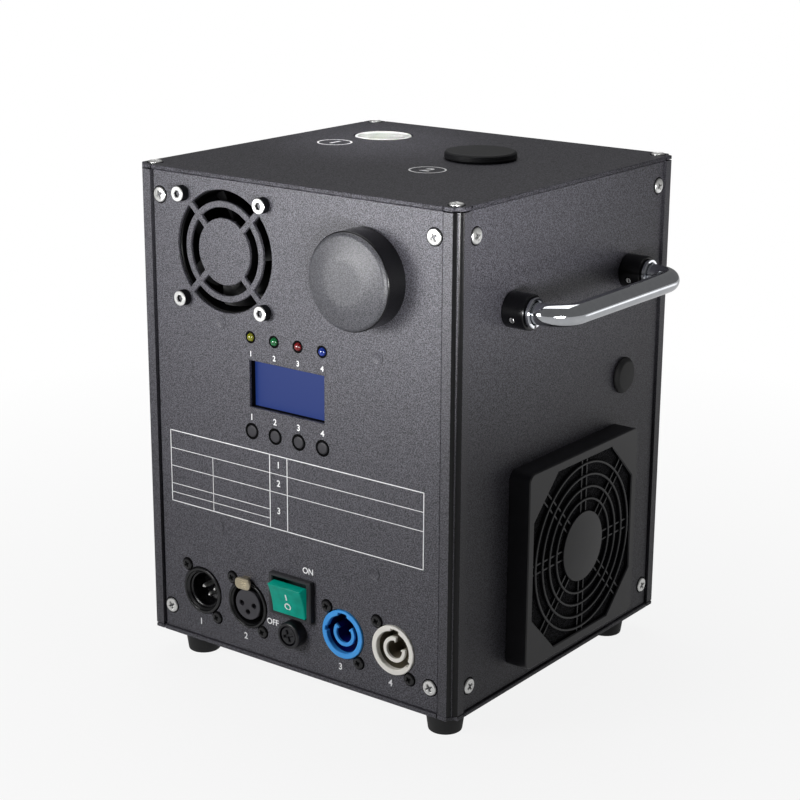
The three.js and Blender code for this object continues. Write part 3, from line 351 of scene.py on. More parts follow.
def metal(name, colour, shade, roughness, line_mm=0.4, stretch=(1, 1, 1), depth_mm=0.004, rough_by=0.08,
          metallic=1.0):
    """Bare or plated metal: fine lines or cloud in colour and roughness, stretched along the way that
    it was worked."""
    material, tree, shader, spot = new_material(name, Metallic=metallic)
    place = add_node(tree, "ShaderNodeMapping", {"Vector": spot, "Scale": stretch})
    lines = add_node(tree, "ShaderNodeTexNoise", {
        "Vector": place.outputs["Vector"], "Scale": 1 / (line_mm * MM), "Detail": 3.0,
    }).outputs["Fac"]
    rough = add_node(tree, "ShaderNodeMapRange", {
        "Value": lines, "From Min": 0.3, "From Max": 0.7,
        "To Min": roughness, "To Max": roughness + rough_by,
    })
    tree.links.new(rough.outputs["Result"], shader.inputs["Roughness"])
    give_skin(tree, shader, lines, colour, shade, lines, depth_mm)
    return material


def open_foam():
    """Reticulated polyurethane foam, dyed black: an open web of cells a millimetre or so across."""
    material, tree, shader, spot = new_material("reticulated_foam", Roughness=0.95, IOR=1.4)
    cells = add_node(tree, "ShaderNodeTexVoronoi", {
        "Vector": spot, "Scale": 1 / (1.7 * MM),
    }, feature="DISTANCE_TO_EDGE")
    web = add_node(tree, "ShaderNodeMapRange", {
        "Value": cells.outputs["Distance"], "From Min": 0.02, "From Max": 0.22,
    }).outputs["Result"]
    give_skin(tree, shader, web, "#333338", "#040405", web, 0.5)
    return material


def circuit_board():
    """Fibreglass board under green solder resist, with faint copper tracks in it."""
    material, tree, shader, spot = new_material("solder_resist", Roughness=0.32, IOR=1.5)
    tracks = add_node(tree, "ShaderNodeTexBrick", {
        "Vector": spot, "Scale": 1 / (14 * MM), "Color1": linear("#1f6b43"), "Color2": linear("#1a5c3b"),
        "Mortar": linear("#2c8257"), "Mortar Size": 0.03,
    })
    relief = add_node(tree, "ShaderNodeBump", {"Height": tracks.outputs["Fac"], "Distance": 0.03 * MM})
    tree.links.new(tracks.outputs["Color"], shader.inputs["Base Color"])
    tree.links.new(relief.outputs["Normal"], shader.inputs["Normal"])
    return material


def drawn_glass(name, colour):
    """Drawn glass tube: clear, with the faintest waviness."""
    material, tree, shader, spot = new_material(
        name, Roughness=0.05, IOR=1.5, Transmission_Weight=0.85, Base_Color=linear(colour)
    )
    waves = add_node(tree, "ShaderNodeTexNoise", {"Vector": spot, "Scale": 1 / (6 * MM), "Detail": 2.0})
    relief = add_node(tree, "ShaderNodeBump", {"Height": waves.outputs["Fac"], "Distance": 0.01 * MM})
    tree.links.new(relief.outputs["Normal"], shader.inputs["Normal"])
    return material


def translucent(name, colour, deep, glow, roughness, **settings):
    """Tinted acrylic or epoxy that light soaks into: a deep, slightly cloudy colour under a glossy skin, with a
    glow painted in.
    """
    material, tree, shader, spot = new_material(
        name, Roughness=roughness, IOR=1.49, Subsurface_Weight=0.15, Subsurface_Radius=(0.002, 0.002, 0.002),
        Emission_Color=linear(colour), Emission_Strength=glow, **settings
    )
    cloud = add_node(tree, "ShaderNodeTexNoise", {
        "Vector": spot, "Scale": 1 / (5 * MM), "Detail": 2.0,
    }).outputs["Fac"]
    share = add_node(tree, "ShaderNodeMapRange", {
        "Value": cloud, "From Min": 0.3, "From Max": 0.7,
    }).outputs["Result"]
    give_skin(tree, shader, share, colour, deep, cloud, 0.02)
    return material


def screen_face():
    """Liquid crystal behind tinted film, with a painted glow that keeps it an even blue, and a faint grid of dots.
    """
    material, tree, shader, spot = new_material(
        "display_film_painted_glow", Roughness=0.4, IOR=1.4, Emission_Color=linear("#254088"), Emission_Strength=0.6,
    )
    dots = add_node(tree, "ShaderNodeTexChecker", {
        "Vector": spot, "Scale": 1 / (0.35 * MM), "Color1": linear("#0b1236"), "Color2": linear("#0a0f2e"),
    })
    tree.links.new(dots.outputs["Color"], shader.inputs["Base Color"])
    return material


def screen_print(name, colour, worn):
    """Screen-printed ink: matte, with tiny pinholes over the grain of the coat."""
    material, tree, shader, spot = new_material(name, Roughness=0.55, IOR=1.5)
    specks = add_node(tree, "ShaderNodeTexNoise", {"Vector": spot, "Scale": 1 / (0.5 * MM), "Detail": 3.0})
    share = add_node(tree, "ShaderNodeMapRange", {
        "Value": specks.outputs["Fac"], "From Min": 0.28, "From Max": 0.4,
    })
    tint = add_node(tree, "ShaderNodeMix", {
        0: share.outputs["Result"], 6: linear(worn), 7: linear(colour),
    }, data_type="RGBA")
    tree.links.new(tint.outputs[2], shader.inputs["Base Color"])
    return material


# Powder coats: near black with pale crests, so that the sheets look grey and sparkle where light grazes them.
# The top's coat is a darker copy, painted shade. The knob's eroded face is pebbled in the same way, paler, as
# painted light.
coat = powder_coat("polyester_powder_coat", "#63626a", "#1b1a1f", 0.5, 0.5)
top_coat_painted_shade = powder_coat("polyester_powder_coat_painted_shade_top", "#525158", "#121116", 0.6, 0.55, Specular_IOR_Level=0.25)
post_coat = powder_coat("powder_coat_on_extrusion", "#5c5b62", "#1b1a1f", 0.45, 0.45)
knob_face_painted_light = powder_coat("spark_eroded_abs_painted_light", "#55555a", "#29292d", 0.5, 0.42)
# Painted shade in the posts' flutes: a smooth black lining that shows one thin highlight.
flute_painted_shade = moulded("gloss_black_painted_flute_shade", "#050506", "#09090b", 0.25, Specular_IOR_Level=0.3)

# Plated metals: chrome is a mirror and nickel is softer and warmer. A darker nickel paints shade on the floors of
# the recesses.
chrome = metal("hard_chrome", "#dcdee2", "#c6c9ce", 0.05, 3.0, rough_by=0.03)
nickel = metal("nickel_plate", "#f6f6f4", "#dededc", 0.32, 0.5)
nickel_recess_shade = metal("nickel_painted_recess_shade", "#77777a", "#58585b", 0.45, 0.5)
champagne = metal("champagne_nickel", "#d9cfb8", "#b6aa90", 0.28, 0.35, depth_mm=0.03)
# Worked metals: zinc has a broad cloud, and turned or rolled bars have lines drawn out along them.
zinc = metal("galvanised_sheet", "#a9acb0", "#8b8e93", 0.42, 7.0)
# The fan bolts' knurled sides are a dark steel, painted shade.
steel_knurl_shade = metal("steel_painted_knurl_shade", "#3a3a3d", "#232326", 0.35, 0.5)
steel = metal("brushed_steel", "#9c9ea2", "#7f8286", 0.3, 0.3, (1, 1, 0.1))
sleeve_metal = metal("rolled_aluminium_sleeve", "#a4a6a9", "#86888c", 0.38, 0.5, (1, 1, 0.15))
# A blasted and anodised skin scatters light almost as white paper does.
pale_metal = metal("blasted_aluminium_bowl", "#fbfbfa", "#f0f0ef", 0.6, 0.6, metallic=0.15)

# Black plastics, from satin to matte, and the shine of a polished mould on the knob's side; there its near black
# is painted shade.
abs_black = moulded("black_abs", "#121217", "#18181d", 0.36)
# The fans' black plastic is darker still, painted shade inside the housing.
abs_fan_and_shade = moulded("glass_filled_pbt_and_painted_shade", "#050506", "#080809", 0.42, Specular_IOR_Level=0.2)
abs_grained = moulded("grained_abs", "#0f0f11", "#151518", 0.6, 0.7, 0.08, Specular_IOR_Level=0.3)
gloss_black_and_knob_shade = moulded("polished_black_abs_and_knob_shade", "#060608", "#0a0a0c", 0.22, Specular_IOR_Level=0.35)
bezel_grained = moulded("grained_polyamide_bezel", "#262629", "#2e2e32", 0.4, 0.7, 0.06)
socket_black = moulded("black_polyamide", "#0d0d0f", "#131315", 0.24)
# A near black that returns almost no light: painted shade in recesses, wells, screw seats and gaps.
recess_shade_black = moulded("black_painted_recess_shade", "#040405", "#070708", 0.9, Specular_IOR_Level=0.1)
insert_grey_and_stud_shadow = moulded("grey_polyamide_insert_and_painted_shadow", "#353439", "#3d3c41", 0.45)
rubber = moulded("black_rubber", "#131314", "#1b1b1d", 0.6, 0.8, 0.04)
cap_grey = moulded("grained_key_cap", "#29282c", "#343338", 0.42, 0.7, 0.08)
# Dyed polyamide has a satin sheen. Darker copies of it down in the sockets are painted shade.
polyamide_blue = moulded("blue_polyamide", "#3f9ff0", "#49a8f7", 0.35)
blue_polyamide_shade = moulded("shadowed_blue_polyamide", "#0a1068", "#070c56", 0.4)
polyamide_white = moulded("grey_white_polyamide", "#f4f1e9", "#f8f5ee", 0.38)
white_polyamide_shade = moulded("shadowed_grey_polyamide", "#776f5e", "#696252", 0.5)

# Clear and tinted pieces: the switch has a little painted glow, and the lamps are off.
green_acrylic_painted_glow = translucent("green_acrylic_painted_glow", "#008c7a", "#007060", 0.35, 0.4, Specular_IOR_Level=0.2)
fuse_glass = drawn_glass("fuse_glass", "#e6eef0")
lamp_resins = [
    translucent(f"{tone}_epoxy", colour, deep, 0.0, 0.12, Specular_IOR_Level=1.0)
    for tone, colour, deep in (
        ("yellow", "#858408", "#5f6006"), ("green", "#046a34", "#034a24"), ("red", "#8c0508", "#5c0305"),
        ("blue", "#0a349c", "#08246e"),
    )
]
LAMP_SLOTS = ["lamp_yellow", "lamp_green", "lamp_red", "lamp_blue"]
ink = screen_print("white_screen_print", "#fbfbfc", "#c9c9cb")
foam = open_foam()
board_green = circuit_board()
film = screen_face()

slot_materials = {
    "powder_coat": coat, "panel_coat": coat, "post_coat": post_coat, "black_rubber": rubber,
    "chrome": chrome, "nickel": nickel, "zinc": zinc, "steel": steel, "sleeve": sleeve_metal,
    "black_plastic": abs_black,
    "knob_plastic": abs_grained, "foam": foam, "circuit": board_green, "nozzle_metal": pale_metal,
    "clear_glass": fuse_glass, "screen": film, "socket_blue": polyamide_blue, "socket_grey": polyamide_white,
    "switch_green": green_acrylic_painted_glow, **dict(zip(LAMP_SLOTS, lamp_resins)),
}
for subpart in frame["record"]["subparts"]:
    data = frame["nodes"][subpart["node"]].data
    data.materials.clear()
    data.materials.append(slot_materials[subpart["material_slot"]])


# Housing

POST_FACE, POST_GAP, FLUTE = 8.5, 1.0, 3.7
SLIT_WIDE, SLIT_DEEP = 0.8, 1.0
SCREW_INSET, SCREW_BORE, POST_BORE, FOOT_BORE = 6.3, 2.1, 1.7, 2.2
PANEL_SCREW_INSET = 13.8
CUP_CLEARANCE, FILLER_HOLE = 0.8, 14.5


def round_holes(face, nodes, radius, count=FINE):
    """A round hole in a face over each of the nodes."""
    return [circle(radius, *middle_of(face, n)[0].xy, count) for n in nodes]


def plate_outline():
    """The housing's rectangle with a flute at each corner and a slit beside each post."""
    points = []
    for side, (h, v) in enumerate(CORNERS):
        start = Vector((h * housing_wide / 2, v * housing_deep / 2))
        long = housing_wide if side % 2 == 0 else housing_deep
        run = arc(FLUTE, QUARTER, 0)
        for centre in (POST_FACE + POST_GAP / 2, long - POST_FACE - POST_GAP / 2):
            near, far = centre - SLIT_WIDE / 2, centre + SLIT_WIDE / 2
            run += [(near, 0), (near, SLIT_DEEP), (far, SLIT_DEEP), (far, 0)]
        turn = Matrix.Rotation(side * QUARTER, 2)
        points += [tuple(turn @ Vector(p) + start) for p in run]
    return points


def make_plates():
    thick = (cover_high.z - cover_low.z) / MM
    outline = plate_outline()
    cup, _, cup_most = middle_of(TOP, "nozzle_cup")
    across, along = housing_wide / 2 - SCREW_INSET, housing_deep / 2 - SCREW_INSET
    top_holes = [circle(SCREW_BORE, h * across, v * along, SMALL) for h, v in CORNERS]
    top_holes += round_holes(TOP, ["nozzle_cup"], cup_most.x - cup.x + CUP_CLEARANCE)
    top_holes += round_holes(TOP, ["powder_cap"], FILLER_HOLE)
    cover = plate(outline, -thick, 0, top_holes, SHEET_EDGE, SHEET_EDGE)
    piece("top_cover_plate", [cover], TOP, top_coat_painted_shade, instead=["top_cover"])
    foot_holes = round_holes(TOP, FOOT_NODES, FOOT_BORE, SMALL)
    base = plate(outline, 0, thick, foot_holes, SHEET_EDGE, SHEET_EDGE)
    piece("base_plate", [base], BOX, coat, instead=["bottom_plate"])


def make_posts():
    # how far a post's wings reach along the panels, the front and back of the wings, and its core
    reach, seat, back, core = 20.0, 3.0, 5.0, 11.0
    outline = [
        (POST_FACE, 0), (POST_FACE, seat), (reach, seat), (reach, back), (core, back), (core, core),
        (back, core), (back, reach), (seat, reach), (seat, POST_FACE), (0, POST_FACE),
    ]
    outline += arc(FLUTE, QUARTER, 0)
    flute_shade_outline = arc(FLUTE - 0.12, QUARTER - 0.02, 0.02) + arc(FLUTE + 0.1, 0.02, QUARTER - 0.02)
    bead_spot = (FLUTE - 0.15) * math.sqrt(0.5)
    low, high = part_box(POST_NODES[0])
    bottom, top = (low.z - underside) / MM, (high.z - underside) / MM
    for i, ((h, v), node) in enumerate(zip(CORNERS, POST_NODES)):
        shift = Matrix.Translation((h * housing_wide / 2, v * housing_deep / 2, 0))
        place = shift @ Matrix.Rotation(i * QUARTER, 4, "Z")
        post = plate(outline, bottom, top, [circle(POST_BORE, SCREW_INSET, SCREW_INSET, SMALL)], 0.15, 0.15)
        piece(f"{node}_extrusion", [moved(post, place)], BOX, post_coat, instead=[node])
        # the black lining in each flute is painted shade
        flute_shade = plate(flute_shade_outline, bottom, top)
        piece(f"{node}_flute", [moved(flute_shade, place)], BOX, flute_painted_shade)
        bead = plate(circle(0.4, bead_spot, bead_spot, 12), bottom, top)
        piece(f"{node}_bead", [moved(bead, place)], BOX, post_coat)


PANEL_BACK = -1.8  # the depth at which lamps, keys, sockets and the fuse holder rest behind the panel
FAN_SIZE, FAN_BOLTS = 60, 50
GRILLE_DISC, GRILLE_RINGS, GRILLE_RIM, GRILLE_SPOKE = 15.9, (20.9, 23.9), 29.1, 3.0
SCREEN_WIDE, SCREEN_HIGH = 45.0, 22.8
KEY_HOLE, LAMP_HOLE, SOCKET_HOLE, PORT_HOLE, FUSE_HOLE, BOLT_HOLE = 3.85, 2.65, 12.3, 15.5, 6.1, 2.1
SWITCH_MARGIN, SWITCH_HOLE_HIGH = 1.3, 20.4
AIR_HOLE, PLUG_HOLE = 43, 7.3


def panel_plate(face, node, holes=()):
    centre, least, most = middle_of(face, node)
    outline = rectangle(most.x - least.x, most.y - least.y, centre.x, centre.y)
    return plate(outline, least.z, most.z, holes, SHEET_EDGE)


def grille_slots(x, y):
    """Two rings of four curved slots, with straight spokes of one width between them."""
    slots = []
    for inner, outer in ((GRILLE_DISC, GRILLE_RINGS[0]), (GRILLE_RINGS[1], GRILLE_RIM)):
        far = math.asin(GRILLE_SPOKE / 2 / outer)
        near = math.asin(GRILLE_SPOKE / 2 / inner)
        for i in range(4):
            start = QUARTER / 2 + i * QUARTER
            end = start + QUARTER
            rim = arc(outer, start + far, end - far, x, y, 20)
            slots.append(rim + arc(inner, end - near, start + near, x, y, 16))
    return slots


def make_panels():
    fan = middle_of(FRONT, "front_fan_frame")[0]
    screen = middle_of(FRONT, "lcd_module")[0]
    switch, switch_low, switch_high = middle_of(FRONT, "switch_housing")
    switch_wide = switch_high.x - switch_low.x - 2 * SWITCH_MARGIN
    holes = grille_slots(fan.x, fan.y)
    holes += round_holes(FRONT, ["clean_out_cap"], PORT_HOLE)
    holes += round_holes(FRONT, LAMPS, LAMP_HOLE, SMALL)
    holes += round_holes(FRONT, KEYS, KEY_HOLE, SMALL)
    holes.append(rectangle(SCREEN_WIDE, SCREEN_HIGH, screen.x, screen.y))
    holes += round_holes(FRONT, SOCKETS, SOCKET_HOLE)
    holes.append(rectangle(switch_wide, SWITCH_HOLE_HIGH, switch.x, switch.y))
    holes += round_holes(FRONT, ["fuse_holder"], FUSE_HOLE, SMALL)
    reach = FAN_BOLTS / 2
    holes += [circle(BOLT_HOLE, fan.x + h * reach, fan.y + v * reach, SMALL) for h, v in CORNERS]
    side_holes = round_holes(SIDE, ["side_fan_frame"], AIR_HOLE)
    side_holes += round_holes(SIDE, ["side_plug"], PLUG_HOLE)
    for face, node, cut in (
        (FRONT, "front_panel", holes), (SIDE, "right_panel", side_holes), (REAR, "rear_panel", ()),
        (LEFT, "left_panel", ()),
    ):
        sheet = panel_plate(face, node, cut)
        piece(f"{node}_sheet", [sheet], face, coat, instead=[node])


# Screws, as the radius and height of their heads

PANEL_SCREW, COVER_SCREW, SOCKET_SCREW = (3.65, 0.8), (3.3, 0.8), (2.8, 0.9)
CROSS_ARM, CROSS_LEAN, DOME = 0.13, 0.5, 0.45


def cross_head(radius, high, x, y, recess):
    """A low domed screw head with a cross recess, the floor of the recess in a darker finish that paints shade,
    and a ring of painted shadow at its seat.
    """
    reach, half = radius * recess, radius * CROSS_ARM
    cap = plate(circle(radius, count=SMALL), 0, high, [cross(reach, half * 0.7, half, CROSS_LEAN)], 0.35)
    for vert in cap.verts:
        if vert.co.z > high * 0.3:
            vert.co.z += high * DOME * (1 - (vert.co.xy.length / radius) ** 2)
    floor = plate(circle(reach + 0.2, count=SMALL), 0.02, high * 0.2)
    seat = plate(circle(radius + 0.6, count=SMALL), 0, 0.06)
    place = Matrix.Translation((x, y, 0))
    return moved(cap, place), moved(floor, place), moved(seat, place)


def screws(name, head, places, face, material, inside, recess=0.5):
    """A set of like screws, with their heads, crosses and rings of painted shadow at their seats as three pieces.
    """
    heads, floors, seat_shadows = zip(*(cross_head(*head, x, y, recess) for x, y in places))
    piece(f"{name}_screws", heads, face, material)
    piece(f"{name}_screw_crosses", floors, face, inside)
    piece(f"{name}_screw_seat_shadows", seat_shadows, face, recess_shade_black)


def make_panel_screws():
    for name, face, wide in (
        ("front", FRONT, housing_wide), ("right", SIDE, housing_deep), ("rear", REAR, housing_wide),
        ("left", LEFT, housing_deep),
    ):
        across = wide / 2 - PANEL_SCREW_INSET
        levels = (PANEL_SCREW_INSET, housing_high - PANEL_SCREW_INSET)
        places = [(h * across, y) for h in (-1, 1) for y in levels]
        screws(f"{name}_panel", PANEL_SCREW, places, face, nickel, nickel_recess_shade)
    across, along = housing_wide / 2 - SCREW_INSET, housing_deep / 2 - SCREW_INSET
    corners = [(h * across, v * along) for h, v in CORNERS]
    screws("top_cover", COVER_SCREW, corners, TOP, nickel, nickel_recess_shade)


def make_fan_bolts():
    head_radius, knurl_radius, shank_radius, nut_radius, key_radius = 3.6, 3.72, 1.9, 3.4, 1.75
    floors = []
    for i in range(1, 5):
        node = f"fan_bolt_{i}"
        spot, least, most = middle_of(FRONT, node)
        brim = most.z - 0.5
        hexagon = circle(key_radius, count=6)
        ridges = enumerate(circle(knurl_radius, count=2 * SMALL))
        teeth = [tuple(Vector(p) * (1 if k % 2 else 0.955)) for k, p in ridges]
        knurl = plate(teeth, 0.3, brim, [hexagon])
        head = plate(circle(head_radius, count=SMALL), brim, most.z, [hexagon], 0.25)
        shank = turned(bar(shank_radius, least.z, 0.4), steps=SMALL)
        nut = plate(circle(nut_radius, count=6), least.z, least.z + 3, edge=0.3)
        place = set_on(FRONT, spot)
        piece(f"fan_bolt_{i}_fine", [head, shank, nut], place, nickel, instead=[node])
        # the knurled side is painted shade
        piece(f"fan_bolt_{i}_knurl", [knurl], place, steel_knurl_shade)
        # the floor of each hex key is the darker nickel, painted shade
        floors.append(plate(circle(key_radius + 0.25, spot.x, spot.y, SMALL), 0.5, most.z - 1.4))
    piece("fan_bolt_recesses", floors, FRONT, nickel_recess_shade)


# Fans

FAN_DEEP, FAN_FLANGE, STRUT_WIDE, STRUT_DEEP, BLADE_THICK = 25, 3.5, 3.2, 3, 1.1


def fan_body(size, bore, hub, bolts):
    """Two square flanges on a round tunnel, with a hub on four struts at its back."""
    outer = soft_rectangle(size, size, 4)
    holes = [circle(bore), *[circle(2.2, h * bolts / 2, v * bolts / 2, SMALL) for h, v in CORNERS]]
    front = plate(outer, -FAN_FLANGE, 0, holes, 0.3, 0.2)
    back = plate(outer, -FAN_DEEP, FAN_FLANGE - FAN_DEEP, holes, 0.2, 0.3)
    tunnel = plate(circle(size / 2 - 0.2), -FAN_DEEP + 1, -1, [circle(bore)])
    parts = [front, back, tunnel]
    size = (bore - hub + 3, STRUT_WIDE, STRUT_DEEP)
    for i in range(4):
        strut = block(size, ((bore + hub) / 2, 0, STRUT_DEEP / 2 - FAN_DEEP))
        parts.append(moved(strut, Matrix.Rotation(i * QUARTER, 4, "Z")))
    parts.append(turned(rounded(bar(hub, -FAN_DEEP, STRUT_DEEP - FAN_DEEP), 0.4)))
    return parts


def fan_blades(tip, hub, front, deep, blades, chord):
    """A rounded hub and curved, twisted blades that reach to the tip. From root to tip a blade grows
    wider, lies flatter and sweeps round, and its middle is bowed forward."""
    parts = [turned(rounded(bar(hub, front - deep, front), 1.5))]
    root = hub - 0.6
    for i in range(blades):
        bm = bmesh.new()
        bmesh.ops.create_grid(bm, x_segments=8, y_segments=10, size=0.5)
        for vert in bm.verts:
            out, along = vert.co.x + 0.5, vert.co.y
            radius = root + out * (tip - root)
            lean = 0.86 - 0.3 * out
            wide = chord * (0.8 + 0.32 * out)
            sweep = 0.22 * out
            bow = 1.6 * (1 - 4 * along * along)
            height = -along * wide * math.sin(lean) + bow
            angle = along * wide * math.cos(lean) / radius + sweep
            vert.co = (radius * math.cos(angle), radius * math.sin(angle), front - deep / 2 + height)
        bmesh.ops.solidify(bm, geom=bm.faces, thickness=BLADE_THICK)
        bmesh.ops.recalc_face_normals(bm, faces=bm.faces)
        parts.append(moved(bm, Matrix.Rotation(i * TURN / blades, 4, "Z")))
    return parts


def make_fans():
    for fan, face, size, bolts, bore, tip, hub, blades, chord, deep in (
        ("front_fan", FRONT, FAN_SIZE, FAN_BOLTS, 28.5, 27.6, 14, 7, 13.5, 17),
        ("side_fan", SIDE, 92, 82.5, 44.5, 43.5, 19, 9, 15.5, 17.5),
    ):
        spot, _, most = middle_of(face, f"{fan}_frame")
        place = set_on(face, spot, most.z)
        shroud = fan_body(size, bore, hub, bolts)
        piece(f"{fan}_shroud", shroud, place, abs_fan_and_shade, instead=[f"{fan}_frame"])
        impeller = fan_blades(tip, hub, -0.6, deep, blades, chord)
        piece(f"{fan}_impeller", impeller, place, abs_fan_and_shade, body=fan, instead=[f"{fan}_rotor"])


# Filter cover on the side

COVER_SIZE, COVER_WALL, COVER_FACE = 96.0, 2.0, 2.0
OPENING, OPENING_CUT = 87.0, 19.5
COVER_DISC, RING_COUNT, RING_FIRST, RING_STEP, RING_HALF = 17.3, 4, 23.2, 6, 0.6
SPOKE_START, SPOKE_WIDE, SPOKE_HIGH, SPOKE_ASIDE = 16.5, 0.95, 1.2, 2.15


def make_filter_cover():
    spot, _, most = middle_of(SIDE, "fan_cover")
    least = middle_of(SIDE, "fan_cover_wall")[1]
    place = set_on(SIDE, spot)
    half = OPENING / 2
    short = half - OPENING_CUT
    opening = [
        (short, -half), (half, -short), (half, short), (short, half), (-short, half), (-half, short),
        (-half, -short), (-short, -half),
    ]
    inner = COVER_SIZE - 2 * COVER_WALL
    front = most.z - COVER_FACE
    low_crest, crest = most.z - 0.4, most.z - 0.1
    outline = soft_rectangle(COVER_SIZE, COVER_SIZE, 4)
    wall = plate(outline, least.z, front + 0.01, [soft_rectangle(inner, inner, 2)])
    face = plate(outline, front, most.z, [opening], 0.5)
    disc = turned(rounded(bar(COVER_DISC, front, crest), 0.5))
    parts = [wall, face, disc]
    for i in range(RING_COUNT):
        radius = RING_FIRST + RING_STEP * i
        inside, outside = radius - RING_HALF, radius + RING_HALF
        ring = [
            (inside, front), (outside, front), (outside, low_crest), (radius + 0.35, crest),
            (radius - 0.35, crest), (inside, low_crest),
        ]
        parts.append(turned(ring, closed=True))
    for i in range(8):
        reach = half + 1 if i % 2 == 0 else half * math.sqrt(2) - OPENING_CUT / math.sqrt(2) + 2
        size = (reach - SPOKE_START, SPOKE_WIDE, SPOKE_HIGH)
        for side in (-1, 1):
            centre = ((reach + SPOKE_START) / 2, side * SPOKE_ASIDE, most.z - 1.4)
            spoke = block(size, centre, 0.2, 2)
            parts.append(moved(spoke, Matrix.Rotation(i * QUARTER / 2, 4, "Z")))
    piece("filter_cover", parts, place, abs_black, instead=["fan_cover", "fan_cover_wall"])

    foam_low, foam_high = middle_of(SIDE, "filter_foam")[1:]
    size = foam_high - foam_low
    pad = block(size, (0, 0, foam_low.z + size.z / 2), 0.8)
    piece("filter_pad", [pad], place, foam, instead=["filter_foam"])


# Handle and plug

HANDLE_REACH, HANDLE_BEND, HANDLE_RADIUS, HANDLE_HALF = 28.5, 12.0, 5.0, 50.0
COLLAR_RADIUS = 8.25


def make_handle():
    """A tube bent twice, drawn out of a circle that stands on the side panel."""
    place = set_on(SIDE, middle_of(SIDE, "handle_bar")[0])
    low = (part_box("handle_bar")[0].x - right_x) / MM
    rise = HANDLE_REACH - HANDLE_BEND
    bm = bmesh.new()
    ring = bmesh.ops.create_circle(bm, cap_ends=False, segments=32, radius=HANDLE_RADIUS)["verts"]
    bmesh.ops.translate(bm, verts=ring, vec=(-HANDLE_HALF, 0, low))
    edges = list({e for v in ring for e in v.link_edges})

    def straight(edges, step):
        made = bmesh.ops.extrude_edge_only(bm, edges=edges)["geom"]
        bmesh.ops.translate(bm, verts=[g for g in made if isinstance(g, bmesh.types.BMVert)], vec=step)
        return [g for g in made if isinstance(g, bmesh.types.BMEdge) and len(g.link_faces) == 1]

    def bent(edges, centre):
        verts = list({v for e in edges for v in e.verts})
        made = bmesh.ops.spin(
            bm, geom=verts + edges, cent=centre, axis=(0, 1, 0), angle=QUARTER, steps=16, use_merge=False
        )["geom_last"]
        return [g for g in made if isinstance(g, bmesh.types.BMEdge)]

    edges = straight(edges, (0, 0, rise - low))
    edges = bent(edges, (HANDLE_BEND - HANDLE_HALF, 0, rise))
    edges = straight(edges, (2 * (HANDLE_HALF - HANDLE_BEND), 0, 0))
    edges = bent(edges, (HANDLE_HALF - HANDLE_BEND, 0, rise))
    edges = straight(edges, (0, 0, low - rise))
    bmesh.ops.remove_doubles(bm, verts=bm.verts, dist=0.001)
    bmesh.ops.holes_fill(bm, edges=bm.edges, sides=32)
    bmesh.ops.recalc_face_normals(bm, faces=bm.faces)
    piece("handle_tube", [bm], place, chrome, instead=["handle_bar"])
    for node, side in (("handle_collar_front", -1), ("handle_collar_rear", 1)):
        make_collar(node, side * HANDLE_HALF, place)


def make_collar(node, x, place):
    """The sleeve that an end of the handle stands in, with its washer and its set screw."""
    _, least, most = middle_of(SIDE, node)
    bore = HANDLE_RADIUS + 0.3
    profile = [
        (0, least.z + 2), (bore, least.z + 2), (bore, most.z), (COLLAR_RADIUS, most.z),
        (COLLAR_RADIUS, least.z), (0, least.z),
    ]
    spot = Matrix.Translation((x, 0, 0))
    sleeve = turned(rounded(profile, 0.7))
    piece(f"{node}_sleeve", [moved(sleeve, spot)], place, gloss_black_and_knob_shade, instead=[node])
    # a split spring washer lies on the collar's end, and its ends stand a little apart
    loop = arc(7.0, 0.3, TURN - 0.1, steps=60) + arc(5.4, TURN - 0.1, 0.3, steps=60)
    washer = plate(loop, most.z + 0.1, most.z + 1.5, edge=0.3)
    for vert in washer.verts:
        turn = math.atan2(vert.co.y, vert.co.x) % TURN
        vert.co.z += 0.9 * turn / TURN
    lean = Matrix.Rotation(0.72 * TURN, 4, "Z")
    piece(f"{node}_washer", [moved(washer, spot @ lean)], place, chrome)
    # the set screw sits low on the collar's front, in a black cup of painted shade that stands for its hole
    lie = Matrix.Translation((x, 0, least.z + 5.5)) @ Matrix.Rotation(0.56 * TURN, 4, "Z")
    lie = lie @ Matrix.Rotation(QUARTER, 4, "Y")
    socket = rounded([(0, 7), (1.9, 7), (1.9, 8.3), (1.5, 8.3), (1.5, 8.1), (0, 8.1)], 0.1)
    hole = turned(socket, steps=SMALL)
    piece(f"{node}_screw_hole_shade", [moved(hole, lie)], place, recess_shade_black)
    grub = plate(circle(1.35, count=SMALL), 8.0, 8.32, [rectangle(0.45, 2.0)], 0.15)
    piece(f"{node}_set_screw", [moved(grub, lie)], place, nickel)


def make_side_plug():
    spot, least, most = middle_of(SIDE, "side_plug")
    profile = [(0, least.z), (7, least.z), (7, 0.3), (9, 0.3), (9, most.z - 1.6), (7.2, most.z), (0, most.z)]
    button = turned(rounded(profile, 0.6))
    piece("side_plug_button", [button], set_on(SIDE, spot), rubber,
          instead=["side_plug"])


def make_feet():
    well = 9
    for node in FOOT_NODES:
        spot, least, most = middle_of(BOX, node)
        place = set_on(BOX, spot)
        start = (6.1, most.z)
        loop = [
            start, (10, most.z), (8, least.z), (4.5, least.z), (4.5, least.z + well),
            (FOOT_BORE, least.z + well), (FOOT_BORE, most.z), start,
        ]
        body = turned(rounded(loop, 0.8)[:-1], steps=SMALL, closed=True)
        piece(f"{node}_moulding", [body], place, rubber, instead=[node])
        screw = turned(rounded(bar(3.6, least.z + 6.5, least.z + 9.3), 0.5), steps=SMALL)
        piece(f"{node}_screw", [screw], place, zinc)


# Knob of the clean-out port

STOPPER_RADIUS, GROOVE_RADIUS = 15, 14.2


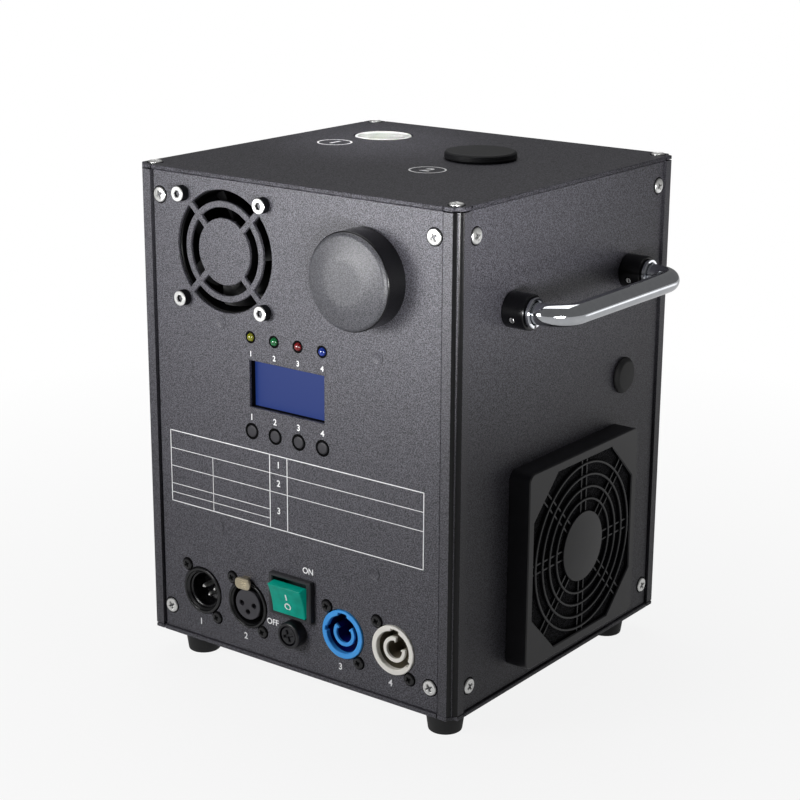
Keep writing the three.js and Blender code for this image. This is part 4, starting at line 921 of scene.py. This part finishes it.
def make_knob():
    spot, least, most = middle_of(FRONT, "clean_out_cap")
    place = set_on(FRONT, spot)
    radius = most.x - spot.x
    rim, shoulder, crest = radius - 0.4, most.z - 4.2, most.z
    side = [
        (0, least.z), (radius - 0.5, least.z), (radius, least.z + 0.6), (radius, shoulder),
        (rim, shoulder + 0.5), (0, shoulder + 0.5),
    ]
    # the skirt is a near-black copy of the knob's plastic, painted shade, and the face a paler copy, painted light
    piece("clean_out_knob_skirt", [turned(rounded(side, 0.3, 6), steps=128)], place, gloss_black_and_knob_shade,
          body="clean_out_knob", instead=["clean_out_cap"])
    # a flat middle, a gently falling flank round it, and a soft edge
    face = [
        (0, shoulder), (rim, shoulder), (rim - 0.2, shoulder + 0.8), (radius * 0.93, crest - 2.3),
        (radius * 0.8, crest - 1.5), (radius * 0.5, crest), (0, crest),
    ]
    piece("clean_out_knob_face", [turned(rounded(face, 2.5, 8), steps=128)], place, knob_face_painted_light,
          body="clean_out_knob")
    plug_low, plug_high = middle_of(FRONT, "clean_out_plug")[1:]
    low = plug_low.z
    stopper = [
        (0, low), (STOPPER_RADIUS - 0.4, low), (STOPPER_RADIUS, low + 0.6), (STOPPER_RADIUS, low + 4),
        (GROOVE_RADIUS, low + 4.2), (GROOVE_RADIUS, low + 5.8), (STOPPER_RADIUS, low + 6),
        (STOPPER_RADIUS, plug_high.z), (0, plug_high.z),
    ]
    piece("clean_out_stopper", [turned(rounded(stopper, 0.2))], place, steel, body="clean_out_plug",
          instead=["clean_out_plug"])
    inside, outside = GROOVE_RADIUS - 0.1, STOPPER_RADIUS + 0.1
    seal = [(inside, low + 4.1), (outside, low + 4.3), (outside, low + 5.7), (inside, low + 5.9)]
    piece("clean_out_seal", [turned(rounded(seal, 0.6), closed=True)], place, rubber,
          body="clean_out_plug")


# Keys, lamps and screen

KEY_RADIUS, KEY_STEM, KEY_SHOULDER, KEY_SEAT = 2.85, 1.5, 4.2, -3
LAMP_RADIUS, LAMP_FLANGE, LAMP_HIGH = 2.1, 2.9, 1.4
# the wells are black rings of painted shade round the keys and lamps
KEY_WELL_SHADE = bar(4.05, -1.75, 0.06, 2.9)
LAMP_WELL_SHADE = bar(3, -1.7, 0.06, 2.15)
SCREEN_SUNK = -4.3


def make_controls():
    well_shades = []
    for node in KEYS:
        spot, least, most = middle_of(FRONT, node)
        profile = [
            (0, least.z), (KEY_STEM, least.z), (KEY_STEM, KEY_SEAT), (KEY_SHOULDER, KEY_SEAT),
            (KEY_SHOULDER, PANEL_BACK), (KEY_RADIUS, PANEL_BACK), (KEY_RADIUS, most.z - 0.3),
            (KEY_RADIUS - 0.35, most.z), (0, most.z),
        ]
        cap = turned(rounded(profile, 0.3), steps=SMALL)
        piece(f"{node}_cap", [cap], set_on(FRONT, spot), cap_grey, body=node, instead=[node])
        well_shades.append(turned(KEY_WELL_SHADE, spot.x, spot.y, SMALL, True))
    for node, resin, slot in zip(LAMPS, lamp_resins, LAMP_SLOTS):
        spot, least, _ = middle_of(FRONT, node)
        dome = arc(LAMP_RADIUS, 0, QUARTER, 0, LAMP_HIGH - LAMP_RADIUS, 12)
        profile = [
            (0, least.z), (LAMP_FLANGE, least.z), (LAMP_FLANGE, PANEL_BACK), (LAMP_RADIUS, PANEL_BACK),
            *dome[:-1], (0, LAMP_HIGH),
        ]
        lens = turned(profile, steps=SMALL)
        piece(f"{node}_dome", [lens], set_on(FRONT, spot), resin, instead=[node])
        well_shades.append(turned(LAMP_WELL_SHADE, spot.x, spot.y, SMALL, True))
    piece("control_well_shades", well_shades, FRONT, recess_shade_black)

    spot, least, most = middle_of(FRONT, "lcd_module")
    place = set_on(FRONT, spot)
    outline = soft_rectangle(most.x - least.x, most.y - least.y, 1)
    case = plate(outline, SCREEN_SUNK, most.z, [rectangle(SCREEN_WIDE, SCREEN_HIGH)], 0.3)
    back = plate(outline, least.z, SCREEN_SUNK - 0.2)
    # the case is in the black of painted recess shade, so the window's walls read as shade
    piece("display_case", [case, back], place, recess_shade_black, instead=["lcd_module"])
    pane = plate(rectangle(SCREEN_WIDE + 1.5, SCREEN_HIGH + 1.5), SCREEN_SUNK - 0.3, SCREEN_SUNK + 0.1)
    # the screen's even blue is partly painted glow
    piece("display_glass", [pane], place, film)


# Sockets along the bottom. The flange lies behind the panel, and the rim stands through it.

SHELL_RADIUS, RIM_RADIUS, RIM_HIGH, SHELL_DEEP = 11.2, 12, 0.8, 22.0
FLANGE_WIDE, FLANGE_TALL, FLANGE_LOW = 26, 31, -3.8
SIGNAL_DEEP, POWER_FLOOR, POWER_BORE = 13.0, -12, 9.3
THREE_WAYS = (-QUARTER, 0, TURN / 2)  # the places of three pins or holes round a signal socket


def socket_flange():
    outline = soft_rectangle(FLANGE_WIDE, FLANGE_TALL, 3)
    return plate(outline, FLANGE_LOW, PANEL_BACK, [circle(SHELL_RADIUS - 0.2)], 0.2)


def socket_shell(bore, lip):
    """The round body and its rim: a bevelled lip inside and a rolled edge outside."""
    floor = RIM_HIGH - SIGNAL_DEEP
    profile = [
        (0, floor), (bore, floor), (bore, -0.6), (lip, 0.2), (lip + 0.25, RIM_HIGH), (11.6, RIM_HIGH),
        (RIM_RADIUS, 0.35), (RIM_RADIUS, PANEL_BACK), (SHELL_RADIUS, PANEL_BACK),
        (SHELL_RADIUS, -SHELL_DEEP), (0, -SHELL_DEEP),
    ]
    return [turned(rounded(profile, 0.18)), socket_flange()]


def make_signal_sockets():
    place = set_on(FRONT, middle_of(FRONT, "xlr_inlet")[0])
    ledge = rounded([(8.3, -3.2), (9.4, -3.2), (9.4, -1.6), (8.9, -1.4), (8.3, -1.9)], 0.15)
    inlet = [*socket_shell(9.3, 10.3), turned(ledge, closed=True)]
    piece("signal_inlet_shell", inlet, place, socket_black, instead=["xlr_inlet"])
    pin = rounded([(0, -12.4), (1.25, -12.4), (1.25, -5.4), (0.5, -4.2), (0, -4.2)], 0.5)
    pins = [turned(pin, 3.6 * math.cos(a), 3.6 * math.sin(a), SMALL) for a in THREE_WAYS]
    piece("signal_inlet_pins", pins, place, nickel)

    place = set_on(FRONT, middle_of(FRONT, "xlr_outlet")[0])
    piece("signal_outlet_shell", socket_shell(9.9, 10.6), place, socket_black, instead=["xlr_outlet"])
    holes = [circle(1.35, 3.9 * math.cos(a), 3.9 * math.sin(a), SMALL) for a in THREE_WAYS]
    insert = plate(circle(7.8), -8, 0.2, holes, 0.3)
    base = plate(circle(7.8), -12.3, -8)
    piece("signal_outlet_insert", [insert, base], place, insert_grey_and_stud_shadow)

    spot, least, most = middle_of(FRONT, "xlr_latch")
    place = FRONT @ Matrix.Translation((spot.x, 0, 0))
    level = least.y + (most.y - least.y) / 2
    tab = plate(soft_rectangle(9.4, 6, 2.6, 0, level), most.z - 1.6, most.z, [], 0.4, 0.2)
    ridges = [block((5.6, 0.35, 0.35), (0, level + step, most.z), 0.1, 2) for step in (-1.5, -0.5, 0.5, 1.5)]
    stem = block((4, 1.4, most.z - least.z - 1), (0, level + 2, (most.z + least.z - 1) / 2), 0.2)
    piece("signal_outlet_latch", [tab, stem, *ridges], place, champagne, body="latch",
          instead=["xlr_latch"])


def keyed_ring(radius, keys):
    """A ring whose bore has square keyways at the given angles, each with half its width and its reach."""
    points = []
    count = 180
    for i in range(count):
        angle = TURN * i / count
        reach = radius
        for at, half, far in keys:
            away = (angle - at + TURN / 2) % TURN - TURN / 2
            if abs(away) < math.asin(half / radius):
                reach = far
        points.append((reach * math.cos(angle), reach * math.sin(angle)))
    return points


def hooked_ring(outer, inner, gap, half):
    """An open ring, like a letter C, whose ends are thickened inwards."""
    start, end = gap + half, gap + TURN - half
    hook = 0.16
    return (
        arc(outer, start, end, steps=48)
        + arc(inner - 0.7, end, end - hook, steps=3)
        + arc(inner, end - hook, start + hook, steps=44)
        + arc(inner - 0.7, start + hook, start, steps=3)
    )


def power_socket(node, keys, gap, half, rim, well):
    """A keyed collar round a hooked core. The well inside them is a darker copy of their colour, painted shade."""
    place = set_on(FRONT, middle_of(FRONT, node)[0])
    bore = keyed_ring(POWER_BORE, keys)
    core_low = -2.0
    collar = plate(circle(RIM_RADIUS), PANEL_BACK, RIM_HIGH, [bore], 0.3)
    piece(f"{node}_rim", [collar], place, rim, instead=[node])
    core = plate(hooked_ring(6.3, 4.4, gap, half), core_low, -0.6, [], 0.2)
    piece(f"{node}_core", [core], place, rim)
    neck = plate(hooked_ring(6.2, 4.5, gap, half), POWER_FLOOR, core_low)
    tube = plate(circle(SHELL_RADIUS), POWER_FLOOR, PANEL_BACK, [bore])
    back = turned(rounded(bar(SHELL_RADIUS, -SHELL_DEEP, POWER_FLOOR), 0.4))
    piece(f"{node}_well", [neck, tube, back, socket_flange()], place, well)


def make_power_sockets():
    inlet_keys = ((QUARTER, 2.4, 10.6), (TURN / 2 - 0.1, 1.1, 10.3))
    outlet_keys = ((QUARTER - 0.1, 2.0, 10.5), (-0.5, 1.2, 10.4))
    power_socket("power_inlet", inlet_keys, QUARTER, 0.85, polyamide_blue, blue_polyamide_shade)
    power_socket("power_outlet", outlet_keys, QUARTER / 2, 0.6, polyamide_white, white_polyamide_shade)


def make_socket_screws():
    for node in SOCKETS:
        place = set_on(FRONT, middle_of(FRONT, node)[0])
        spots = ((-9.5, 12), (9.5, -12))
        screws(node, SOCKET_SCREW, spots, place, socket_black, recess_shade_black, 0.45)


# Rocker switch and fuse holder

def make_switch():
    spot, least, most = middle_of(FRONT, "switch_housing")
    place = set_on(FRONT, spot)
    wide, high, floor = 20.8, 17.8, -7
    opening = rectangle(wide, high)
    outside = rectangle(wide + 2, high + 2)
    bezel = plate(soft_rectangle(most.x - least.x, most.y - least.y, 0.8), 0.3, most.z, [opening], 0.5)
    case = plate(outside, floor, 0.4, [opening])
    back = plate(outside, least.z, floor)
    piece("switch_bezel", [bezel, case, back], place, bezel_grained, instead=["switch_housing"])

    # the rocker's section is a shallow dip over a blunt keel, and it runs from side to side
    joint = next(j for j in frame["joints"] if j["name"] == "rocker_tilt")
    pivot = FRONT.inverted() @ Vector(joint["pos_m"])
    shares = [2 * i / 14 - 1 for i in range(15)]
    section = [(share * 8, 4 - 0.8 * (1 - share * share)) for share in shares]
    section += [(7.2, -1), (3, -4), (-3, -4), (-7.2, -1)]
    bm = bmesh.new()
    profile = bm.faces.new([bm.verts.new((-10, y, z)) for y, z in section])
    made = bmesh.ops.extrude_face_region(bm, geom=[profile], use_keep_orig=True)["geom"]
    bmesh.ops.translate(bm, verts=[g for g in made if isinstance(g, bmesh.types.BMVert)], vec=(20, 0, 0))
    bmesh.ops.recalc_face_normals(bm, faces=bm.faces)
    rims = [e for e in bm.edges if e.calc_face_angle(0) > 0.6]
    bmesh.ops.bevel(bm, geom=rims, offset=0.5, segments=3, profile=0.5, affect="EDGES", material=-1)
    tilt = Matrix.Translation(pivot) @ Matrix.Rotation(math.radians(15), 4, "X")
    piece("rocker_cap", [moved(bm, tilt)], FRONT, green_acrylic_painted_glow, body="rocker",
          instead=["switch_rocker"])
    on_mark = block((0.7, 3.4, 0.3), (0, 1.9, 3.26), 0.05, 1)
    off_mark = plate(circle(1.9, 0, -3.3), 3.15, 3.5, [circle(1.3, 0, -3.3)])
    piece("rocker_marks", [moved(part, tilt) for part in (on_mark, off_mark)], FRONT, ink, body="rocker")


def make_fuse():
    spot, least, most = middle_of(FRONT, "fuse_holder")
    place = set_on(FRONT, spot)
    body, flange, rim, bore = 5.8, 7.3, 6.65, 4.9
    profile = [
        (0, least.z), (body, least.z), (body, PANEL_BACK - 3), (flange, PANEL_BACK - 3),
        (flange, PANEL_BACK), (body, PANEL_BACK), (body, 0.3), (rim, 0.3), (rim, most.z - 0.6),
        (6.1, most.z), (bore, most.z), (bore, most.z - 6), (bore, least.z + 2), (0, least.z + 2),
    ]
    piece("fuse_holder_body", [turned(rounded(profile, 0.35))], place, abs_black, instead=["fuse_holder"])
    cap_low, cap_high = middle_of(FRONT, "fuse_cap")[1:]
    low, high = cap_low.z, cap_high.z
    cap = plate(circle(4.4), high - 1.1, high, [cross(2.9, 0.55, 0.6, 0.35)], 0.35)
    core = plate(circle(4.4), high - 4.5, high - 1.05)
    sleeve = [(2.9, low), (4, low), (4, high - 4.4), (0, high - 4.4), (0, low + 10), (2.9, low + 10)]
    carrier = turned(sleeve, closed=True, steps=SMALL)
    piece("fuse_cap_slotted", [cap, core, carrier], place, abs_black, body="fuse_cap", instead=["fuse_cap"])
    middle, link_low, link_high = middle_of(FRONT, "fuse_link")
    radius, low, high = link_high.x - middle.x, link_low.z, link_high.z
    tube = turned(bar(radius - 0.1, low, high), steps=SMALL)
    piece("fuse_glass_tube", [tube], place, fuse_glass, body="fuse",
          instead=["fuse_link"])
    ends = [turned(bar(radius, end, end + 5), steps=SMALL) for end in (low, high - 5)]
    piece("fuse_end_caps", ends, place, nickel, body="fuse")


# Nozzle and filler cap in the top

def make_top_fittings():
    spot, least, _ = middle_of(TOP, "nozzle_cup")
    profile = [
        (8, least.z), (14.7, least.z), (14.7, -0.3), (14.4, 0), (13.6, 0), (13.3, -0.5), (12.9, -6),
        (12.2, -12), (10.6, -17), (8, -20.5),
    ]
    bowl = turned(rounded(profile, 0.4), closed=True)
    piece("nozzle_bowl", [bowl], set_on(TOP, spot), pale_metal,
          instead=["nozzle_cup"])
    spot, least, most = middle_of(TOP, "powder_cap")
    radius = most.x - spot.x
    profile = [
        (0, 0.3), (12, 0.3), (12, least.z), (14, least.z), (14, 0.3), (radius - 0.6, 0.3), (radius, 0.9),
        (radius, 1.5), (radius - 0.15, 1.7), (radius - 0.15, most.z - 0.8), (radius - 1, most.z),
        (0, most.z),
    ]
    cap = turned(rounded(profile, 0.25), steps=96)
    piece("filler_cap_turned", [cap], set_on(TOP, spot), abs_grained, body="filler_cap",
          instead=["powder_cap"])


# Printed lines, figures and the marks that press studs left under the coat

THIN_LINE, BROAD_LINE, INK_HIGH = 0.3, 0.45, 0.05
LAMP_FIGURES_LEVEL, KEY_FIGURES_LEVEL, SOCKET_FIGURES_LEVEL = 153.7, 122.9, 9.8
LAMP_FIGURE, PANEL_FIGURE, LABEL_FIGURE, SOCKET_FIGURE, TOP_FIGURE = 3.6, 4.2, 4.4, 4.6, 11.0
STUDS = ((-47.6, 63.2), (48.0, 61.4), (-43.4, 166.2), (49.5, 164.1))


def printed(words, x, y, size):
    """Plain figures or letters in a thin layer of ink, about a place."""
    curve = bpy.data.curves.new("figure", "FONT")
    curve.body = words
    curve.size = size
    curve.align_x = "CENTER"
    curve.align_y = "CENTER"
    curve.extrude = 0.02
    curve.offset = size * 0.02
    loose = bpy.data.objects.new("figure", curve)
    mesh = bpy.data.meshes.new_from_object(loose)
    bm = bmesh.new()
    bm.from_mesh(mesh)
    bpy.data.objects.remove(loose)
    bpy.data.curves.remove(curve)
    bpy.data.meshes.remove(mesh)
    return moved(bm, Matrix.Translation((x, y, 0.03)))


def line(x0, y0, x1, y1, wide=BROAD_LINE):
    """A printed line, upright or level."""
    size = (abs(x1 - x0) + wide, abs(y1 - y0) + wide, INK_HIGH)
    return block(size, ((x0 + x1) / 2, (y0 + y1) / 2, INK_HIGH / 2), 0)


def make_print():
    figures = []
    for i, (lamp, key) in enumerate(zip(LAMPS, KEYS), 1):
        figures.append(printed(str(i), middle_of(FRONT, lamp)[0].x, LAMP_FIGURES_LEVEL, LAMP_FIGURE))
        figures.append(printed(str(i), middle_of(FRONT, key)[0].x, KEY_FIGURES_LEVEL, PANEL_FIGURE))
    for i, node in enumerate(SOCKETS, 1):
        place = middle_of(FRONT, node)[0].x - 1.5
        figures.append(printed(str(i), place, SOCKET_FIGURES_LEVEL, SOCKET_FIGURE))
    figures.append(printed("ON", 8.6, 53.1, PANEL_FIGURE))
    figures.append(printed("OFF", -13.7, 21.6, PANEL_FIGURE))
    # the label's frame and columns, and its rules, which come at eighths of its height
    left, right, low, high = -78.0, 75.8, 70.2, 106.7
    columns = (-50.5, -14.3, -3.6)
    lines = [line(left, y, right, y) for y in (low, high)] + [line(x, low, x, high) for x in (left, right)]
    row = (high - low) / 8
    for end, rows in ((right, (2, 4)), (columns[1], (6, 7))):
        lines += [line(left, high - row * i, end, high - row * i, THIN_LINE) for i in rows]
    lines.append(line(columns[0], low, columns[0], high - row * 2, THIN_LINE))
    lines += [line(x, low, x, high) for x in columns[1:]]
    middle = (columns[1] + columns[2]) / 2
    for i, rows_down in enumerate((1, 3, 6), 1):
        figures.append(printed(str(i), middle, high - row * rows_down, LABEL_FIGURE))
    piece("front_print", figures + lines, FRONT, ink)

    cup = middle_of(TOP, "nozzle_cup")[0]
    cap = middle_of(TOP, "powder_cap")[0]
    marks = []
    for word, x, y in (("1", cup.x - 5, cup.y - 34), ("2", cap.x - 1, cap.y - 42)):
        marks.append(printed(word, x, y, TOP_FIGURE))
        marks.append(plate(circle(9, x, y), 0, INK_HIGH, [circle(8.1, x, y)]))
    piece("top_print", marks, TOP, ink)


def make_stud_marks():
    dimple = [(0, -0.2), (3.1, -0.2), (3.0, 0.2), (2.7, 0.25), (2.3, 0.08), (0, 0.05)]
    studs = [turned(dimple, x, y, SMALL) for x, y in STUDS]
    piece("stud_marks", studs, FRONT, coat)
    # a thin dark crescent of painted shadow lies on the right of each mark, in the insert's grey
    shades = [
        plate(arc(3.4, -0.9, 1.1, x, y, 12) + arc(3.1, 1.1, -0.9, x, y, 12), 0, 0.05) for x, y in STUDS
    ]
    piece("stud_mark_shades", shades, FRONT, insert_grey_and_stud_shadow)


# Camera, light and floor

CAMERA_PLACE = (547.965, -736.596, 386.441)  # in millimetres from the middle of the housing's underside
CAMERA_ANGLES = (36.926, 16.483, 0.331)  # azimuth, elevation and roll, in degrees
FOCAL_PX, FRAME_PX = 1911.9, 800
WHITE = "#ffffff"


def make_camera():
    azimuth, elevation, roll = (math.radians(a) for a in CAMERA_ANGLES)
    place = Vector((middle_x, middle_y, underside)) + Vector(CAMERA_PLACE) * MM
    level_share = math.cos(elevation)
    back = Vector((math.sin(azimuth) * level_share, -math.cos(azimuth) * level_share, math.sin(elevation)))
    level = Vector((math.cos(azimuth), math.sin(azimuth), 0))
    rise = back.cross(level)
    right = math.cos(roll) * level + math.sin(roll) * rise
    up = math.cos(roll) * rise - math.sin(roll) * level
    camera = bpy.data.cameras.new("camera")
    camera.sensor_width = 36
    camera.lens = camera.sensor_width * FOCAL_PX / FRAME_PX
    camera.clip_start = 0.01
    holder = bpy.data.objects.new("camera", camera)
    holder.matrix_world = Matrix.Translation(place) @ Matrix((right, up, back)).transposed().to_4x4()
    bpy.context.scene.collection.objects.link(holder)
    bpy.context.scene.camera = holder


def add_lamp(name, place, target, wide, high, power, beam):
    """A softbox behind a grid that keeps its light within a beam, in degrees."""
    lamp = bpy.data.lights.new(name, "AREA")
    lamp.shape = "RECTANGLE"
    lamp.size, lamp.size_y = wide, high
    lamp.energy = power
    lamp.spread = math.radians(beam)
    holder = bpy.data.objects.new(name, lamp)
    holder.visible_camera = False
    aim = (Vector(target) - Vector(place)).to_track_quat("-Z", "Y")
    holder.matrix_world = Matrix.Translation(place) @ aim.to_matrix().to_4x4()
    bpy.context.scene.collection.objects.link(holder)


# How much of the white a mirror finds. The real surroundings were darker than the floor.
BACKDROP_MIRRORED, FLOOR_MIRRORED = 0.12, 0.42


def white_to_see(tree, mirrored):
    """The share of white that a ray finds: all of it from the camera or through glass, and less in a
    mirror. Light on the object finds none."""
    path = add_node(tree, "ShaderNodeLightPath")
    straight, through = path.outputs["Is Camera Ray"], path.outputs["Is Transmission Ray"]
    glossy = path.outputs["Is Glossy Ray"]
    mirror = add_node(tree, "ShaderNodeMath", {0: glossy, 1: mirrored}, operation="MULTIPLY")
    clear = add_node(tree, "ShaderNodeMath", {0: straight, 1: through}, operation="MAXIMUM")
    either = add_node(tree, "ShaderNodeMath", {
        0: clear.outputs[0], 1: mirror.outputs[0],
    }, operation="MAXIMUM")
    return either.outputs[0]


def make_lights():
    world = bpy.data.worlds.new("studio")
    bpy.context.scene.world = world
    world.use_nodes = True
    tree = world.node_tree
    tree.nodes.clear()
    soft = add_node(tree, "ShaderNodeBackground", {"Color": linear(WHITE), "Strength": 0.04})
    white = add_node(tree, "ShaderNodeBackground", {"Color": linear(WHITE), "Strength": 1.0})
    blend = add_node(tree, "ShaderNodeMixShader", {
        0: white_to_see(tree, BACKDROP_MIRRORED), 1: soft.outputs[0], 2: white.outputs[0],
    })
    add_node(tree, "ShaderNodeOutputWorld", {"Surface": blend.outputs[0]})

    # place, target, width and height in metres, then power in watts and the beam
    add_lamp("key_softbox", (-0.14, -0.46, 0.24), (0, -0.1, 0.23), 0.22, 0.14, 0.66, 100)
    add_lamp("fill_softbox", (0.34, -0.32, 0.2), (0.09, -0.085, 0.29), 0.22, 0.08, 0.36, 50)
    add_lamp("overhead_softbox", (-0.25, 0.3, 1.2), (0, 0, 0.25), 1, 1, 6.5, 180)
    add_lamp("nozzle_snoot", (0.2, -0.24, 0.7), (-0.068, 0.046, 0.25), 0.04, 0.04, 0.019, 12)
    add_lamp("rear_strip", (0.42, 0.52, 0.04), (0.11, 0, 0.16), 0.5, 0.12, 0.02, 60)


def make_floor():
    bm = bmesh.new()
    bmesh.ops.create_grid(bm, x_segments=1, y_segments=1, size=3)
    bmesh.ops.translate(bm, verts=bm.verts, vec=(0, 0, cad_box[0].z - 0.3 * MM))
    mesh = bpy.data.meshes.new("floor")
    bm.to_mesh(mesh)
    bm.free()
    # far from the object the floor is white to the camera, and near it keeps more of the shadow
    material, tree, shader, spot = new_material("floor_paper", Base_Color=linear("#c8c8c8"), Roughness=0.9)
    glow = add_node(tree, "ShaderNodeEmission", {"Color": linear(WHITE), "Strength": 1.0})
    away = add_node(tree, "ShaderNodeVectorMath", {0: spot}, operation="LENGTH").outputs["Value"]
    share = add_node(tree, "ShaderNodeMapRange", {
        "Value": away, "From Min": 0.12, "From Max": 0.6, "To Min": 0.88, "To Max": 1.0,
    })
    seen = add_node(tree, "ShaderNodeMath", {
        0: white_to_see(tree, FLOOR_MIRRORED), 1: share.outputs["Result"],
    }, operation="MULTIPLY")
    blend = add_node(tree, "ShaderNodeMixShader", {
        0: seen.outputs[0], 1: shader.outputs[0], 2: glow.outputs[0],
    })
    tree.links.new(blend.outputs[0], tree.nodes["Material Output"].inputs["Surface"])
    mesh.materials.append(material)
    floor = bpy.data.objects.new("floor", mesh)
    bpy.context.scene.collection.objects.link(floor)


bpy.context.scene.view_settings.view_transform = "Standard"
for make in (
    make_camera, make_lights, make_floor, make_plates, make_posts, make_panels, make_panel_screws,
    make_fan_bolts, make_fans, make_filter_cover, make_handle, make_side_plug, make_feet, make_knob,
    make_controls, make_signal_sockets, make_power_sockets, make_socket_screws, make_switch, make_fuse,
    make_top_fittings, make_print, make_stud_marks,
):
    make()
